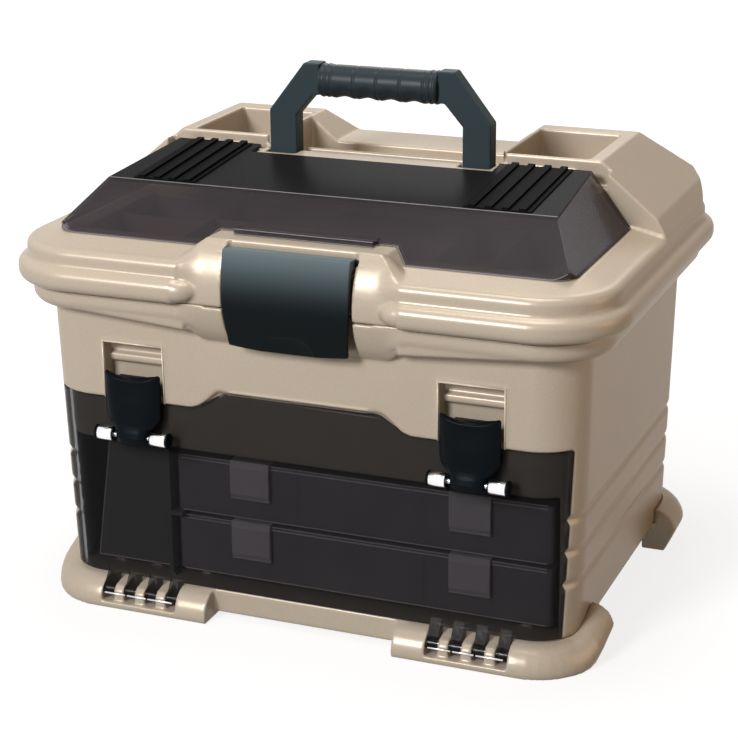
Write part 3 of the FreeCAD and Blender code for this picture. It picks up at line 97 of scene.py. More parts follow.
scene.world = bpy.data.worlds.new("studio")
nodes, links, output = new_nodes(scene.world, "ShaderNodeOutputWorld")
fill = nodes.new("ShaderNodeBackground")
fill.inputs["Color"].default_value = FILL_COLOUR
fill.inputs["Strength"].default_value = WORLD_FILL
sky = nodes.new("ShaderNodeBackground")
sky.inputs["Color"].default_value = WHITE
show_two(nodes, links, output, fill, sky)


def soft_lamp(name, place, aim, width, watts, colour):
    """A square area lamp pointed at a place."""
    lamp = bpy.data.objects.new(name, bpy.data.lights.new(name, "AREA"))
    scene.collection.objects.link(lamp)
    lamp.data.size = width
    lamp.data.energy = watts
    lamp.data.color = colour
    lamp.location = place
    lamp.rotation_euler = (Vector(aim) - Vector(place)).to_track_quat("-Z", "Y").to_euler()


soft_lamp("key_lamp", (-0.85, -2.6, 1.6), (0, 0, 0.2), 0.8, 86, (0.985, 0.99, 1.0))
soft_lamp("top_lamp", (-0.05, -0.1, 1.9), (0, 0, 0.2), 0.8, 15, (1.0, 0.99, 0.98))
soft_lamp("back_lamp", (-0.3, 1.3, 1.2), (0, 0, 0.25), 0.7, 5, (1.0, 0.98, 0.95))
soft_lamp("side_lamp", (1.35, 0.1, 0.35), (0.2, 0, 0.1), 0.7, 2.6, (1.0, 0.60, 0.28))

floor_mesh = bpy.data.meshes.new("studio_floor")
floor_mesh.from_pydata([(-FLOOR_HALF, -FLOOR_HALF, 0), (FLOOR_HALF, -FLOOR_HALF, 0),
                        (FLOOR_HALF, FLOOR_HALF, 0), (-FLOOR_HALF, FLOOR_HALF, 0)],
                       [], [(0, 1, 2, 3)])
floor = bpy.data.objects.new("studio_floor", floor_mesh)
scene.collection.objects.link(floor)
floor_finish = bpy.data.materials.new("studio_floor")
nodes, links, output = new_nodes(floor_finish)
matt = nodes.new("ShaderNodeBsdfDiffuse")
matt.inputs["Color"].default_value = FLOOR_COLOUR
place = nodes.new("ShaderNodeTexCoord")
reach = nodes.new("ShaderNodeVectorMath")
reach.operation = "LENGTH"
fade = nodes.new("ShaderNodeMapRange")
fade.inputs["From Min"].default_value = SHADE_RADIUS
fade.inputs["From Max"].default_value = WHITE_RADIUS
fade.inputs["To Min"].default_value = SHADE_LIFT
fade.inputs["To Max"].default_value = WHITE_LIFT
lift = nodes.new("ShaderNodeEmission")
lift.inputs["Color"].default_value = WHITE
lifted = nodes.new("ShaderNodeAddShader")
links.new(place.outputs["Object"], reach.inputs[0])
links.new(reach.outputs["Value"], fade.inputs["Value"])
links.new(fade.outputs["Result"], lift.inputs["Strength"])
links.new(matt.outputs[0], lifted.inputs[0])
links.new(lift.outputs[0], lifted.inputs[1])
show_two(nodes, links, output, matt, lifted)
floor.data.materials.append(floor_finish)


# ---------------------------------------------------------------- cabinet shell
# The outer case: one injection moulding in pearl champagne polypropylene, with soft
# moulded edges, three lap grooves round the sides and two framed slots for the latches.
# Sizes named in capitals are in millimetres unless they say metres.
MM = 0.001
FLARE_START, FLARE_END, FLARE_STEPS = 84, 63, 12
COLLAR_RIM = [(-144, 225), (-147, 226.2), (-157, 227.2), (-160.4, 229.4), (-161.9, 232.5),
              (-162, 236), (-162, 239.5), (-162, 243), (-144, 243)]
COLLAR_CHEEK = [(-144, 211), (-147.2, 213), (-150.8, 217), (-154, 221), (-156.7, 225.4),
                (-159, 229.8), (-161, 235.2), (-162.6, 243), (-144, 243)]
SLOT_MIDDLE = 126
SLOT_HALF = 23.6
SLOT_FOOT, SLOT_HEAD = 161.6, 203.6
WALL_FACE, WALL_LEAN, WALL_TOP = -147.1, 0.023, 227
CROWN = ((57, 175), (80, 160.5))            # the step's corners: distance from middle, height
CROWN_GAP = 0.6                             # how far the doorway stands above the door
CROWN_EASE_METRES, CROWN_NEAR_METRES = 0.0055, 0.0009
COLLAR_FOOT_METRES = (0.2195, 0.2305)
COLLAR_LIFT_METRES = 0.006
CHEEK_HALF_METRES, CHEEK_BACK_METRES = 0.079, -0.14
LIP_WIDE, LIP_DEEP, LIP_PROUD = 1.7, 2.2, 0.6
WELD_METRES = 0.00002
FLAT_ANGLE = math.radians(0.6)
MOST_TRIANGLES = 170000


def pearl_finish(name, colour, deep):
    """Polypropylene with a fine pearl flake, a little cloudy where the melt flowed."""
    material = bpy.data.materials.new(name)
    nodes, links, output = new_nodes(material)
    place = nodes.new("ShaderNodeTexCoord")
    cloud = nodes.new("ShaderNodeTexNoise")
    cloud.inputs["Scale"].default_value = 9.0
    cloud.inputs["Detail"].default_value = 3.0
    flake = nodes.new("ShaderNodeTexVoronoi")
    flake.inputs["Scale"].default_value = 1500.0
    grain = nodes.new("ShaderNodeTexNoise")
    grain.inputs["Scale"].default_value = 420.0
    grain.inputs["Detail"].default_value = 4.0
    for texture in (cloud, flake, grain):
        links.new(place.outputs["Object"], texture.inputs["Vector"])
    tint = nodes.new("ShaderNodeMix")
    tint.data_type = "RGBA"
    tint.inputs["A"].default_value = (*deep, 1)
    tint.inputs["B"].default_value = (*colour, 1)
    spread = nodes.new("ShaderNodeMapRange")
    spread.inputs["From Min"].default_value = 0.3
    spread.inputs["From Max"].default_value = 0.7
    spread.inputs["To Min"].default_value = 0.55
    spread.inputs["To Max"].default_value = 1.0
    links.new(cloud.outputs["Fac"], spread.inputs["Value"])
    links.new(spread.outputs["Result"], tint.inputs["Factor"])
    spark = nodes.new("ShaderNodeMix")
    spark.data_type = "RGBA"
    spark.blend_type = "SOFT_LIGHT"
    spark.inputs["Factor"].default_value = 0.10
    links.new(tint.outputs["Result"], spark.inputs["A"])
    links.new(flake.outputs["Color"], spark.inputs["B"])
    bump = nodes.new("ShaderNodeBump")
    bump.inputs["Strength"].default_value = 0.05
    bump.inputs["Distance"].default_value = 0.0002
    links.new(grain.outputs["Fac"], bump.inputs["Height"])
    gloss = nodes.new("ShaderNodeMapRange")
    gloss.inputs["To Min"].default_value = 0.27
    gloss.inputs["To Max"].default_value = 0.36
    links.new(grain.outputs["Fac"], gloss.inputs["Value"])
    shader = nodes.new("ShaderNodeBsdfPrincipled")
    shader.inputs["Metallic"].default_value = 0.17
    shader.inputs["Specular IOR Level"].default_value = 0.03
    links.new(spark.outputs["Result"], shader.inputs["Base Color"])
    links.new(gloss.outputs["Result"], shader.inputs["Roughness"])
    links.new(bump.outputs["Normal"], shader.inputs["Normal"])
    links.new(shader.outputs[0], output.inputs["Surface"])
    return material


def ease(share):
    """A share of the way, slow at both ends."""
    return share * share * (3 - 2 * share)


def loft(mesh, rings):
    """Adds a closed skin through rings of points, in millimetres."""
    rows = [[mesh.verts.new([part * MM for part in point]) for point in ring] for ring in rings]
    count = len(rings[0])
    for near, far in zip(rows, rows[1:]):
        for index in range(count):
            after = (index + 1) % count
            mesh.faces.new((near[index], near[after], far[after], far[index]))
    mesh.faces.new(rows[0][::-1])
    mesh.faces.new(rows[-1])


def flare(mesh, rim, cheek, side):
    """The swept run from the rim into the latch cheek, on one side."""
    rings = []
    for step in range(FLARE_STEPS + 1):
        share = ease(step / FLARE_STEPS)
        place = FLARE_START + (FLARE_END - FLARE_START) * step / FLARE_STEPS
        rings.append([(side * place, a[0] + (b[0] - a[0]) * share, a[1] + (b[1] - a[1]) * share)
                      for a, b in zip(rim, cheek)])
    loft(mesh, rings)


def shape(piece, build):
    """Lets a function edit a piece's mesh, and turns the faces outwards after it."""
    mesh = bmesh.new()
    mesh.from_mesh(piece.data)
    build(mesh)
    bmesh.ops.recalc_face_normals(mesh, faces=mesh.faces)
    mesh.to_mesh(piece.data)
    mesh.free()


def moulding(node, name, body, finish, voxel, passes, added=None, afresh=False):
    """A smooth-skinned copy of a node, its edges rounded as a mould leaves them."""
    start = bpy.data.meshes.new(name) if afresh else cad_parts[node].data.copy()
    piece = bpy.data.objects.new(name, start)
    scene.collection.objects.link(piece)
    if added:
        shape(piece, added)
    remesh = piece.modifiers.new("skin", "REMESH")
    remesh.mode = "VOXEL"
    remesh.voxel_size = voxel
    soften = piece.modifiers.new("soften", "SMOOTH")
    soften.factor = 0.5
    soften.iterations = passes
    bake(piece)
    triangles = sum(len(face.vertices) - 2 for face in piece.data.polygons)
    if triangles > MOST_TRIANGLES:
        thin = piece.modifiers.new("thin", "DECIMATE")
        thin.ratio = MOST_TRIANGLES / triangles
        bake(piece)
    return dress(piece, node, body, finish)


def bake(piece):
    """Turns the piece's modifiers into its mesh."""
    graph = bpy.context.evaluated_depsgraph_get()
    baked = bpy.data.meshes.new_from_object(piece.evaluated_get(graph))
    piece.modifiers.clear()
    piece.data = baked
    baked.name = piece.name


def dress(piece, node, body, finish):
    """Gives a piece its finish and its body, and hides the node it stands for."""
    piece.data.materials.clear()
    piece.data.materials.append(finish)
    for face in piece.data.polygons:
        face.use_smooth = True
    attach(piece, body)
    if node:
        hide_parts(node)
    return piece


def weld(mesh):
    """Joins a node's triangles into whole flat faces."""
    bmesh.ops.remove_doubles(mesh, verts=mesh.verts, dist=WELD_METRES)
    bmesh.ops.dissolve_limit(mesh, angle_limit=FLAT_ANGLE, verts=mesh.verts, edges=mesh.edges)


def ease_crown(mesh, gap):
    """Rounds the four corners of the stepped top edge, in the doorway or on the door."""
    weld(mesh)
    corners = []
    for edge in mesh.edges:
        for wide, high in CROWN:
            if all(abs(abs(end.co.x) - wide * MM) < CROWN_NEAR_METRES
                   and abs(end.co.z - (high + gap) * MM) < CROWN_NEAR_METRES
                   and end.co.y < -0.13 for end in edge.verts):
                corners.append(edge)
    bmesh.ops.bevel(mesh, geom=corners, offset=CROWN_EASE_METRES, offset_type="OFFSET",
                    segments=6, profile=0.5, affect="EDGES", clamp_overlap=False)


def case_shape(mesh):
    """The case's doorway eased, its collar lifted to its real foot, its flares added."""
    ease_crown(mesh, CROWN_GAP)
    low, high = COLLAR_FOOT_METRES
    for vert in mesh.verts:
        off_cheek = abs(vert.co.x) > CHEEK_HALF_METRES or vert.co.y > CHEEK_BACK_METRES
        if low < vert.co.z < high and off_cheek:
            vert.co.z += COLLAR_LIFT_METRES
    for side in (-1, 1):
        flare(mesh, COLLAR_RIM, COLLAR_CHEEK, side)


champagne = pearl_finish("pearl_champagne", (0.49, 0.415, 0.33), (0.445, 0.37, 0.285))
moulding("cabinet_shell", "case", "cabinet", champagne, 0.0012, 3, added=case_shape)


def wall_at(height):
    """How far forward the case's front wall stands."""
    return WALL_FACE + (WALL_TOP - height) * WALL_LEAN


def bar(mesh, start, end, wide, deep, side=(1, 0, 0)):
    """A round-nosed strip between two points, standing out towards the front."""
    across = Vector(side)
    rings = []
    for point in (Vector(start), Vector(end)):
        rings.append([point + across * (wide / 2 * math.cos(turn))
                      - Vector((0, deep * math.sin(turn), 0))
                      for turn in (math.pi * index / 8 for index in range(9))])
    loft(mesh, rings)


def made(name, build, body, finish, node=None):
    """A piece built afresh from lofts."""
    piece = bpy.data.objects.new(name, bpy.data.meshes.new(name))
    scene.collection.objects.link(piece)
    shape(piece, build)
    return dress(piece, node, body, finish)


def slot_lips(mesh):
    """The raised frame round each latch slot: two uprights and a head."""
    foot_y, head_y = wall_at(SLOT_FOOT) + LIP_PROUD, wall_at(SLOT_HEAD) + LIP_PROUD
    for middle in (-SLOT_MIDDLE, SLOT_MIDDLE):
        for edge in (-SLOT_HALF, SLOT_HALF):
            bar(mesh, (middle + edge, foot_y, SLOT_FOOT), (middle + edge, head_y, SLOT_HEAD + 0.8),
                LIP_WIDE, LIP_DEEP)
        bar(mesh, (middle - SLOT_HALF, head_y, SLOT_HEAD), (middle + SLOT_HALF, head_y, SLOT_HEAD),
            LIP_WIDE, LIP_DEEP, side=(0, 0, 1))


# The lips' lighter champagne is a painted highlight on the raised frame.
lip_painted_highlight = pearl_finish("pearl_lip_painted_highlight", (0.70, 0.62, 0.51), (0.64, 0.56, 0.45))
made("slot_lips", slot_lips, "cabinet", lip_painted_highlight)


# ---------------------------------------------------------------- base
# The foot frame under the case: one moulding in the same champagne plastic, with four
# rounded feet that wrap the corners and, in front, the knuckles that the door hinges on.
moulding("base_frame", "foot_frame", "cabinet", champagne, 0.0012, 3)


# ---------------------------------------------------------------- rods and pins
# Drawn steel wire, cut to length and pressed through the knuckles of door, lid, hatch,
# handle and trays. Short lengths of the door's wire show between the hinge fingers.
WIRE_RUNS = ((-27.5, 17), (-9.3, 15.8), (7.6, 20))      # start from the hinge's middle, length
WIRE_LINE = (-155.9, 11.9)                              # y and z of the wire
WIRE_RADIUS, WIRE_NOSE = 0.75, 0.4


def wire_finish(name, colour=(0.62, 0.62, 0.62), smooth=0.18):
    """Drawn steel with fine lines along its length."""
    material = bpy.data.materials.new(name)
    nodes, links, output = new_nodes(material)
    place = nodes.new("ShaderNodeTexCoord")
    stretch = nodes.new("ShaderNodeMapping")
    stretch.inputs["Scale"].default_value = (60, 4000, 4000)
    lines = nodes.new("ShaderNodeTexNoise")
    lines.inputs["Scale"].default_value = 1.0
    shader = nodes.new("ShaderNodeBsdfPrincipled")
    shader.inputs["Base Color"].default_value = (*colour, 1)
    shader.inputs["Metallic"].default_value = 1.0
    rough = nodes.new("ShaderNodeMapRange")
    rough.inputs["To Min"].default_value = smooth
    rough.inputs["To Max"].default_value = smooth + 0.2
    links.new(place.outputs["Object"], stretch.inputs["Vector"])
    links.new(stretch.outputs["Vector"], lines.inputs["Vector"])
    links.new(lines.outputs["Fac"], rough.inputs["Value"])
    links.new(rough.outputs["Result"], shader.inputs["Roughness"])
    links.new(shader.outputs[0], output.inputs["Surface"])
    return material


steel = wire_finish("drawn_steel")


def turned(mesh, start, profile, middle, steps=24):
    """A turned part along x: profile is (distance from start, radius) pairs."""
    rings = []
    for along, radius in profile:
        rings.append([(start + along, middle[0] + radius * math.cos(turn),
                       middle[1] + radius * math.sin(turn))
                      for turn in (2 * math.pi * index / steps for index in range(steps))])
    loft(mesh, rings)


def hinge_wires(mesh):
    """The lengths of wire that show between the fingers of both door hinges."""
    for middle in (-SLOT_MIDDLE, SLOT_MIDDLE):
        for start, length in WIRE_RUNS:
            turned(mesh, middle + start,
                   [(0, 0.35), (WIRE_NOSE, WIRE_RADIUS), (length - WIRE_NOSE, WIRE_RADIUS),
                    (length, 0.35)], WIRE_LINE, 12)


made("hinge_wires", hinge_wires, "cabinet", steel)


def keep(node, finish):
    """A node that stays as it is, in its own finish."""
    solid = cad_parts[node]
    solid.data.materials.clear()
    solid.data.materials.append(finish)


for node in ("door_hinge_rods", "lid_hinge_pins", "handle_pins", "hatch_hinge_pins",
             "door_latch_pins", "tray_lower_rod", "tray_upper_rod"):
    keep(node, steel)


# ---------------------------------------------------------------- inside the case
# The shelf over the trays, the upright between trays and bin, and the rail on the
# right: plain grey-brown mouldings clipped into the case.
def plain_finish(name, colour, rough, bump_height, gloss=0.35):
    """Solid coloured plastic with a faint spark-eroded grain."""
    material = bpy.data.materials.new(name)
    nodes, links, output = new_nodes(material)
    place = nodes.new("ShaderNodeTexCoord")
    grain = nodes.new("ShaderNodeTexNoise")
    grain.inputs["Scale"].default_value = 900.0
    grain.inputs["Detail"].default_value = 3.0
    bump = nodes.new("ShaderNodeBump")
    bump.inputs["Strength"].default_value = 0.3
    bump.inputs["Distance"].default_value = bump_height
    shader = nodes.new("ShaderNodeBsdfPrincipled")
    shader.inputs["Base Color"].default_value = (*colour, 1)
    shader.inputs["Specular IOR Level"].default_value = gloss
    spread = nodes.new("ShaderNodeMapRange")
    spread.inputs["To Min"].default_value = rough - 0.06
    spread.inputs["To Max"].default_value = rough + 0.06
    links.new(place.outputs["Object"], grain.inputs["Vector"])
    links.new(grain.outputs["Fac"], bump.inputs["Height"])
    links.new(grain.outputs["Fac"], spread.inputs["Value"])
    links.new(spread.outputs["Result"], shader.inputs["Roughness"])
    links.new(bump.outputs["Normal"], shader.inputs["Normal"])
    links.new(shader.outputs[0], output.inputs["Surface"])
    return material


tub_grey = plain_finish("tub_grey", (0.23, 0.21, 0.205), 0.45, 0.0001)
for node in ("bulk_shelf", "bay_divider", "side_rail", "side_bin"):
    keep(node, tub_grey)


# ---------------------------------------------------------------- utility trays
# Two lidded trays in frosted clear polypropylene, each with loose dividers and two
# snap latches, and hinged at the back on a wire. Pale tubes along their front edges
# are a painted highlight.
TRAY_EDGE_RADIUS_METRES = 0.0005
OUTSIDE_CORNER = math.radians(22)
TRAY_FRONT_METRES, BIN_FRONT_METRES, SHORT_EDGE_METRES = -0.112, -0.085, 0.008


def clear_finish(name, through, cloud_colour, cloud_share, rough):
    """Clear plastic: part of the light passes, part is scattered, the rest is gloss."""
    material = bpy.data.materials.new(name)
    nodes, links, output = new_nodes(material)
    place = nodes.new("ShaderNodeTexCoord")
    haze = nodes.new("ShaderNodeTexNoise")
    haze.inputs["Scale"].default_value = 30.0
    haze.inputs["Detail"].default_value = 2.0
    amount = nodes.new("ShaderNodeMapRange")
    amount.inputs["To Min"].default_value = cloud_share * 0.8
    amount.inputs["To Max"].default_value = cloud_share * 1.2
    passing = nodes.new("ShaderNodeBsdfTransparent")
    passing.inputs["Color"].default_value = (*through, 1)
    cloudy = nodes.new("ShaderNodeBsdfDiffuse")
    cloudy.inputs["Color"].default_value = (*cloud_colour, 1)
    body = nodes.new("ShaderNodeMixShader")
    gloss = nodes.new("ShaderNodeBsdfGlossy")
    gloss.inputs["Roughness"].default_value = rough
    edge = nodes.new("ShaderNodeFresnel")
    edge.inputs["IOR"].default_value = 1.08
    coat = nodes.new("ShaderNodeMixShader")
    links.new(place.outputs["Object"], haze.inputs["Vector"])
    links.new(haze.outputs["Fac"], amount.inputs["Value"])
    links.new(amount.outputs["Result"], body.inputs[0])
    links.new(passing.outputs[0], body.inputs[1])
    links.new(cloudy.outputs[0], body.inputs[2])
    links.new(edge.outputs[0], coat.inputs[0])
    links.new(body.outputs[0], coat.inputs[1])
    links.new(gloss.outputs[0], coat.inputs[2])
    links.new(coat.outputs[0], output.inputs["Surface"])
    return material


frosted = clear_finish("frosted_clear", (0.80, 0.78, 0.78), (0.72, 0.64, 0.65), 0.40, 0.15)
latch_frost = plain_finish("tray_latch_frost", (0.90, 0.78, 0.79), 0.35, 0.00005)


def edge_lines(node, name, body, finish, radius, wanted):
    """Thin tubes along a node's outside corners, carrying a painted highlight where the plastic's
    edges catch light.
    """
    mesh = bmesh.new()
    mesh.from_mesh(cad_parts[node].data)
    weld(mesh)
    run = bpy.data.curves.new(name, "CURVE")
    run.dimensions = "3D"
    run.bevel_depth = radius
    run.bevel_resolution = 1
    run.use_fill_caps = True
    for edge in mesh.edges:
        if len(edge.link_faces) != 2 or edge.calc_face_angle_signed() < OUTSIDE_CORNER:
            continue
        near, far = (vert.co for vert in edge.verts)
        if wanted(near, far):
            spline = run.splines.new("POLY")
            spline.points.add(1)
            spline.points[0].co = (*near, 1)
            spline.points[1].co = (*far, 1)
    mesh.free()
    lines = bpy.data.objects.new(name, run)
    scene.collection.objects.link(lines)
    graph = bpy.context.evaluated_depsgraph_get()
    tubes = bpy.data.meshes.new_from_object(lines.evaluated_get(graph))
    bpy.data.objects.remove(lines)
    piece = bpy.data.objects.new(name, tubes)
    scene.collection.objects.link(piece)
    return dress(piece, None, body, finish)


def on_tray_front(near, far):
    """The tray's long edges that face the door."""
    return (max(near.y, far.y) < TRAY_FRONT_METRES
            and abs(near.x - far.x) > SHORT_EDGE_METRES)


def on_bin_front(near, far):
    """Every edge on the side bin's front."""
    return max(near.y, far.y) < BIN_FRONT_METRES


# Painted highlight: pale tubes along the fronts of the trays and the side bin.
edge_painted_highlight = plain_finish("edge_painted_highlight", (0.85, 0.75, 0.76), 0.3, 0.00005)
for tray in ("tray_lower", "tray_upper"):
    for part in ("base", "cover", "dividers"):
        keep("%s_%s" % (tray, part), frosted)
    keep(tray + "_latches", latch_frost)
    for part in ("base", "cover", "latches"):
        node = "%s_%s" % (tray, part)
        edge_lines(node, node + "_edges", tray, edge_painted_highlight,
                   TRAY_EDGE_RADIUS_METRES, on_tray_front)
edge_lines("side_bin", "side_bin_edges", "side_bin", edge_painted_highlight,
           TRAY_EDGE_RADIUS_METRES, on_bin_front)


# ---------------------------------------------------------------- front door
# A smoke-tinted clear panel, moulded in one piece, that wraps round both front corners
# and drops on the hinge wires. Each latch turns on a bright sleeve held on its face.
SLEEVE_STARTS, CAP_STARTS = (-27.4, 15.2), (-29.2, 27.5)
SLEEVE_PROFILE = [(0, 4.6), (0.5, 5.25), (11.7, 5.25), (12.2, 4.6)]
CAP_PROFILE = [(0, 4.4), (0.5, 5.6), (1.2, 5.6), (1.7, 4.4)]
BARREL_LINE = (-151.8, 136)                 # y and z of the latches' barrels


def clear_panel(node, name, body, finish, edge, shaped=None):
    """A clear moulding: the node's own faces, welded, with its edges eased."""
    piece = bpy.data.objects.new(name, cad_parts[node].data.copy())
    scene.collection.objects.link(piece)
    mesh = bmesh.new()
    mesh.from_mesh(piece.data)
    weld(mesh)
    if shaped:
        shaped(mesh)
    mesh.to_mesh(piece.data)
    mesh.free()
    rounding = piece.modifiers.new("edges", "BEVEL")
    rounding.width = edge
    rounding.segments = 3
    rounding.limit_method = "ANGLE"
    rounding.angle_limit = math.radians(20)
    rounding.harden_normals = True
    even = piece.modifiers.new("even", "WEIGHTED_NORMAL")
    even.keep_sharp = True
    for face in piece.data.polygons:
        face.use_smooth = True
    bake(piece)
    return dress(piece, node, body, finish)


def door_step(mesh):
    """The door's own stepped top edge, with its corners eased."""
    ease_crown(mesh, 0)


def latch_sleeves(mesh):
    """The bright sleeve on each side of both latches."""
    for middle in (-SLOT_MIDDLE, SLOT_MIDDLE):
        for start in SLEEVE_STARTS:
            turned(mesh, middle + start, SLEEVE_PROFILE, BARREL_LINE)


def sleeve_caps(mesh):
    """The black cap on the outer end of each sleeve."""
    for middle in (-SLOT_MIDDLE, SLOT_MIDDLE):
        for start in CAP_STARTS:
            turned(mesh, middle + start, CAP_PROFILE, BARREL_LINE)


smoke = clear_finish("smoke_clear", (0.56, 0.565, 0.58), (0.045, 0.044, 0.045), 0.12, 0.16)
clear_panel("door_panel", "door", "door", smoke, 0.0007, shaped=door_step)
bright_steel = wire_finish("bright_steel", (0.92, 0.92, 0.93), 0.08)
made("latch_sleeves", latch_sleeves, "door", bright_steel)


# ---------------------------------------------------------------- door latches
# Two rocking latches, moulded in blue-black plastic: a bowed plate with a hollow for the
# thumb, a nose that covers the slot, and a narrower barrel that turns on the sleeves.
LATCH_ROWS = (                              # down the latch: height, half width, front, back
    (183, 20.6, -152.6, -148.6), (181.6, 21.5, -153.7, -147.7), (176, 21.5, -154.1, -147.5),
    (168, 21.5, -154.5, -147.5), (160, 21.5, -154.8, -147.5), (153, 21.4, -154.6, -147.4),
    (148.5, 20.6, -154.4, -147.2), (145, 18.4, -154.6, -147), (142.5, 15.6, -155.4, -147),
    (140, 14.2, -156.4, -147), (136, 14, -157.6, -146.8), (132.6, 14, -156.6, -147.6),
    (130.4, 13.8, -154.4, -149.6))
THUMB_DIP, DIP_FOOT, DIP_RUN = 4.2, 166, 17
HOLLOW_DEEP, HOLLOW_HALF, HOLLOW_MIDDLE, HOLLOW_HIGH = 2.0, 12, 172.5, 6.5
LATCH_BOW = 1.1
NOSE = [(12, -148), (12, -143.2), (-12, -143.2), (-12, -148)]
NOSE_LEVELS = (175, 179)


def black_finish(name, colour, rough, gloss=0.04, painted_sheen=None, start=0, full=1):
    """Blue-black plastic with a faint leather grain; if asked, a painted highlight makes the base
    colour lighter towards one height.
    """
    material = bpy.data.materials.new(name)
    nodes, links, output = new_nodes(material)
    place = nodes.new("ShaderNodeTexCoord")
    leather = nodes.new("ShaderNodeTexVoronoi")
    leather.inputs["Scale"].default_value = 1100.0
    leather.feature = "SMOOTH_F1"
    mottle = nodes.new("ShaderNodeTexNoise")
    mottle.inputs["Scale"].default_value = 60.0
    bump = nodes.new("ShaderNodeBump")
    bump.inputs["Strength"].default_value = 0.35
    bump.inputs["Distance"].default_value = 0.00012
    spread = nodes.new("ShaderNodeMapRange")
    spread.inputs["To Min"].default_value = rough - 0.05
    spread.inputs["To Max"].default_value = rough + 0.05
    shader = nodes.new("ShaderNodeBsdfPrincipled")
    shader.inputs["Base Color"].default_value = (*colour, 1)
    shader.inputs["Specular IOR Level"].default_value = gloss
    # Painted highlight: the base colour turns lighter between two heights.
    if painted_sheen:
        parts = nodes.new("ShaderNodeSeparateXYZ")
        rise = nodes.new("ShaderNodeMapRange")
        rise.interpolation_type = "SMOOTHERSTEP"
        rise.inputs["From Min"].default_value = start
        rise.inputs["From Max"].default_value = full
        painted_sheen_mix = nodes.new("ShaderNodeMix")
        painted_sheen_mix.data_type = "RGBA"
        painted_sheen_mix.inputs["A"].default_value = (*colour, 1)
        painted_sheen_mix.inputs["B"].default_value = (*painted_sheen, 1)
        links.new(place.outputs["Object"], parts.inputs[0])
        links.new(parts.outputs["Z"], rise.inputs["Value"])
        links.new(rise.outputs["Result"], painted_sheen_mix.inputs["Factor"])
        links.new(painted_sheen_mix.outputs["Result"], shader.inputs["Base Color"])
    for texture in (leather, mottle):
        links.new(place.outputs["Object"], texture.inputs["Vector"])
    links.new(leather.outputs["Distance"], bump.inputs["Height"])
    links.new(mottle.outputs["Fac"], spread.inputs["Value"])
    links.new(spread.outputs["Result"], shader.inputs["Roughness"])
    links.new(bump.outputs["Normal"], shader.inputs["Normal"])
    links.new(shader.outputs[0], output.inputs["Surface"])
    return material


blue_black = black_finish("blue_black", (0.0035, 0.0055, 0.007), 0.34)
made("sleeve_caps", sleeve_caps, "door", blue_black)


def latch_body(mesh, middle):
    """One latch, row by row from its tip down to its barrel, and its nose."""
    rings = []
    for height, half, front, back in LATCH_ROWS:
        drop = THUMB_DIP * max(0.0, (height - DIP_FOOT) / DIP_RUN)
        near, far = [], []
        for index in range(25):
            across = -1 + index / 12
            level = height - drop * (1 - across * across)
            curl = 1 - abs(across) ** 5
            hollow = HOLLOW_DEEP * math.exp(-(across * half / HOLLOW_HALF) ** 2
                                            - ((height - HOLLOW_MIDDLE) / HOLLOW_HIGH) ** 2)
            bow = LATCH_BOW * (1 - across * across)
            depth = back + (front - bow + hollow - back) * (0.35 + 0.65 * curl)
            near.append((middle + across * half, depth, level))
            far.append((middle + across * half, back, level))
        rings.append(near + far[::-1])
    loft(mesh, rings)
    loft(mesh, [[(middle + wide, deep, level) for wide, deep in NOSE] for level in NOSE_LEVELS])


for side, middle in (("left", -SLOT_MIDDLE), ("right", SLOT_MIDDLE)):
    moulding("door_latch_" + side, "latch_" + side, "door_latch_" + side, blue_black,
             0.0005, 3, added=lambda mesh, middle=middle: latch_body(mesh, middle), afresh=True)


# ---------------------------------------------------------------- lid
# The lid moulding, in the case's plastic. Its cap sweeps up into the latch cheeks, and
# the bead under it runs out to a blunt point on each side of them.
CAP_RIM = [(-144, 243.4), (-163, 243.4), (-163, 249), (-163, 255), (-164, 260.6),
           (-165, 263.5), (-165, 266.5), (-164.1, 270), (-161.8, 272.1), (-157, 273.3),
           (-150, 274.4), (-144, 274.4)]
CAP_CHEEK = [(-144, 243.4), (-163, 243.4), (-163.5, 249), (-163.4, 255), (-162.6, 260.6),
             (-161.6, 265), (-160.2, 269.2), (-158.2, 273.4), (-155.6, 277.8), (-152.7, 282),
             (-149.4, 286), (-144, 286)]
BEAD_END = ((90, 1.0), (84, 1.0), (79, 0.97), (75, 0.86),       # distance from middle, share
            (71.5, 0.66), (68.8, 0.42), (67, 0.2), (66.2, 0.05))
BEAD_ROOT, BEAD_OUT = -162, 9.9
BEAD_LEVEL, BEAD_HALF_HIGH = 251.7, 8.2


def bead_point(mesh, side):
    """The bead's end: its half-round section, shrinking to a point on the cheek."""
    rings = []
    for place, share in BEAD_END:
        rings.append([(side * place, BEAD_ROOT - BEAD_OUT * share * math.cos(turn) ** 0.8,
                       BEAD_LEVEL + BEAD_HALF_HIGH * share ** 0.8 * math.sin(turn))
                      for turn in (math.pi * (index / 12 - 0.5) for index in range(13))])
    loft(mesh, rings)


def lid_flares(mesh):
    """The cap's sweeps and the bead's ends, left and right of the latch."""
    for side in (-1, 1):
        flare(mesh, CAP_RIM, CAP_CHEEK, side)
        bead_point(mesh, side)


moulding("lid_shell", "lid_top", "lid", champagne, 0.0012, 3, added=lid_flares)


# ---------------------------------------------------------------- organiser
# The shallow tub that sits in the lid under the hatch, moulded in grey plastic, with five
# loose dividers slid into its grooves.
organiser_grey = plain_finish("organiser_grey", (0.36, 0.33, 0.335), 0.4, 0.00005)
for node in ("lid_organiser", "organiser_dividers"):
    keep(node, organiser_grey)


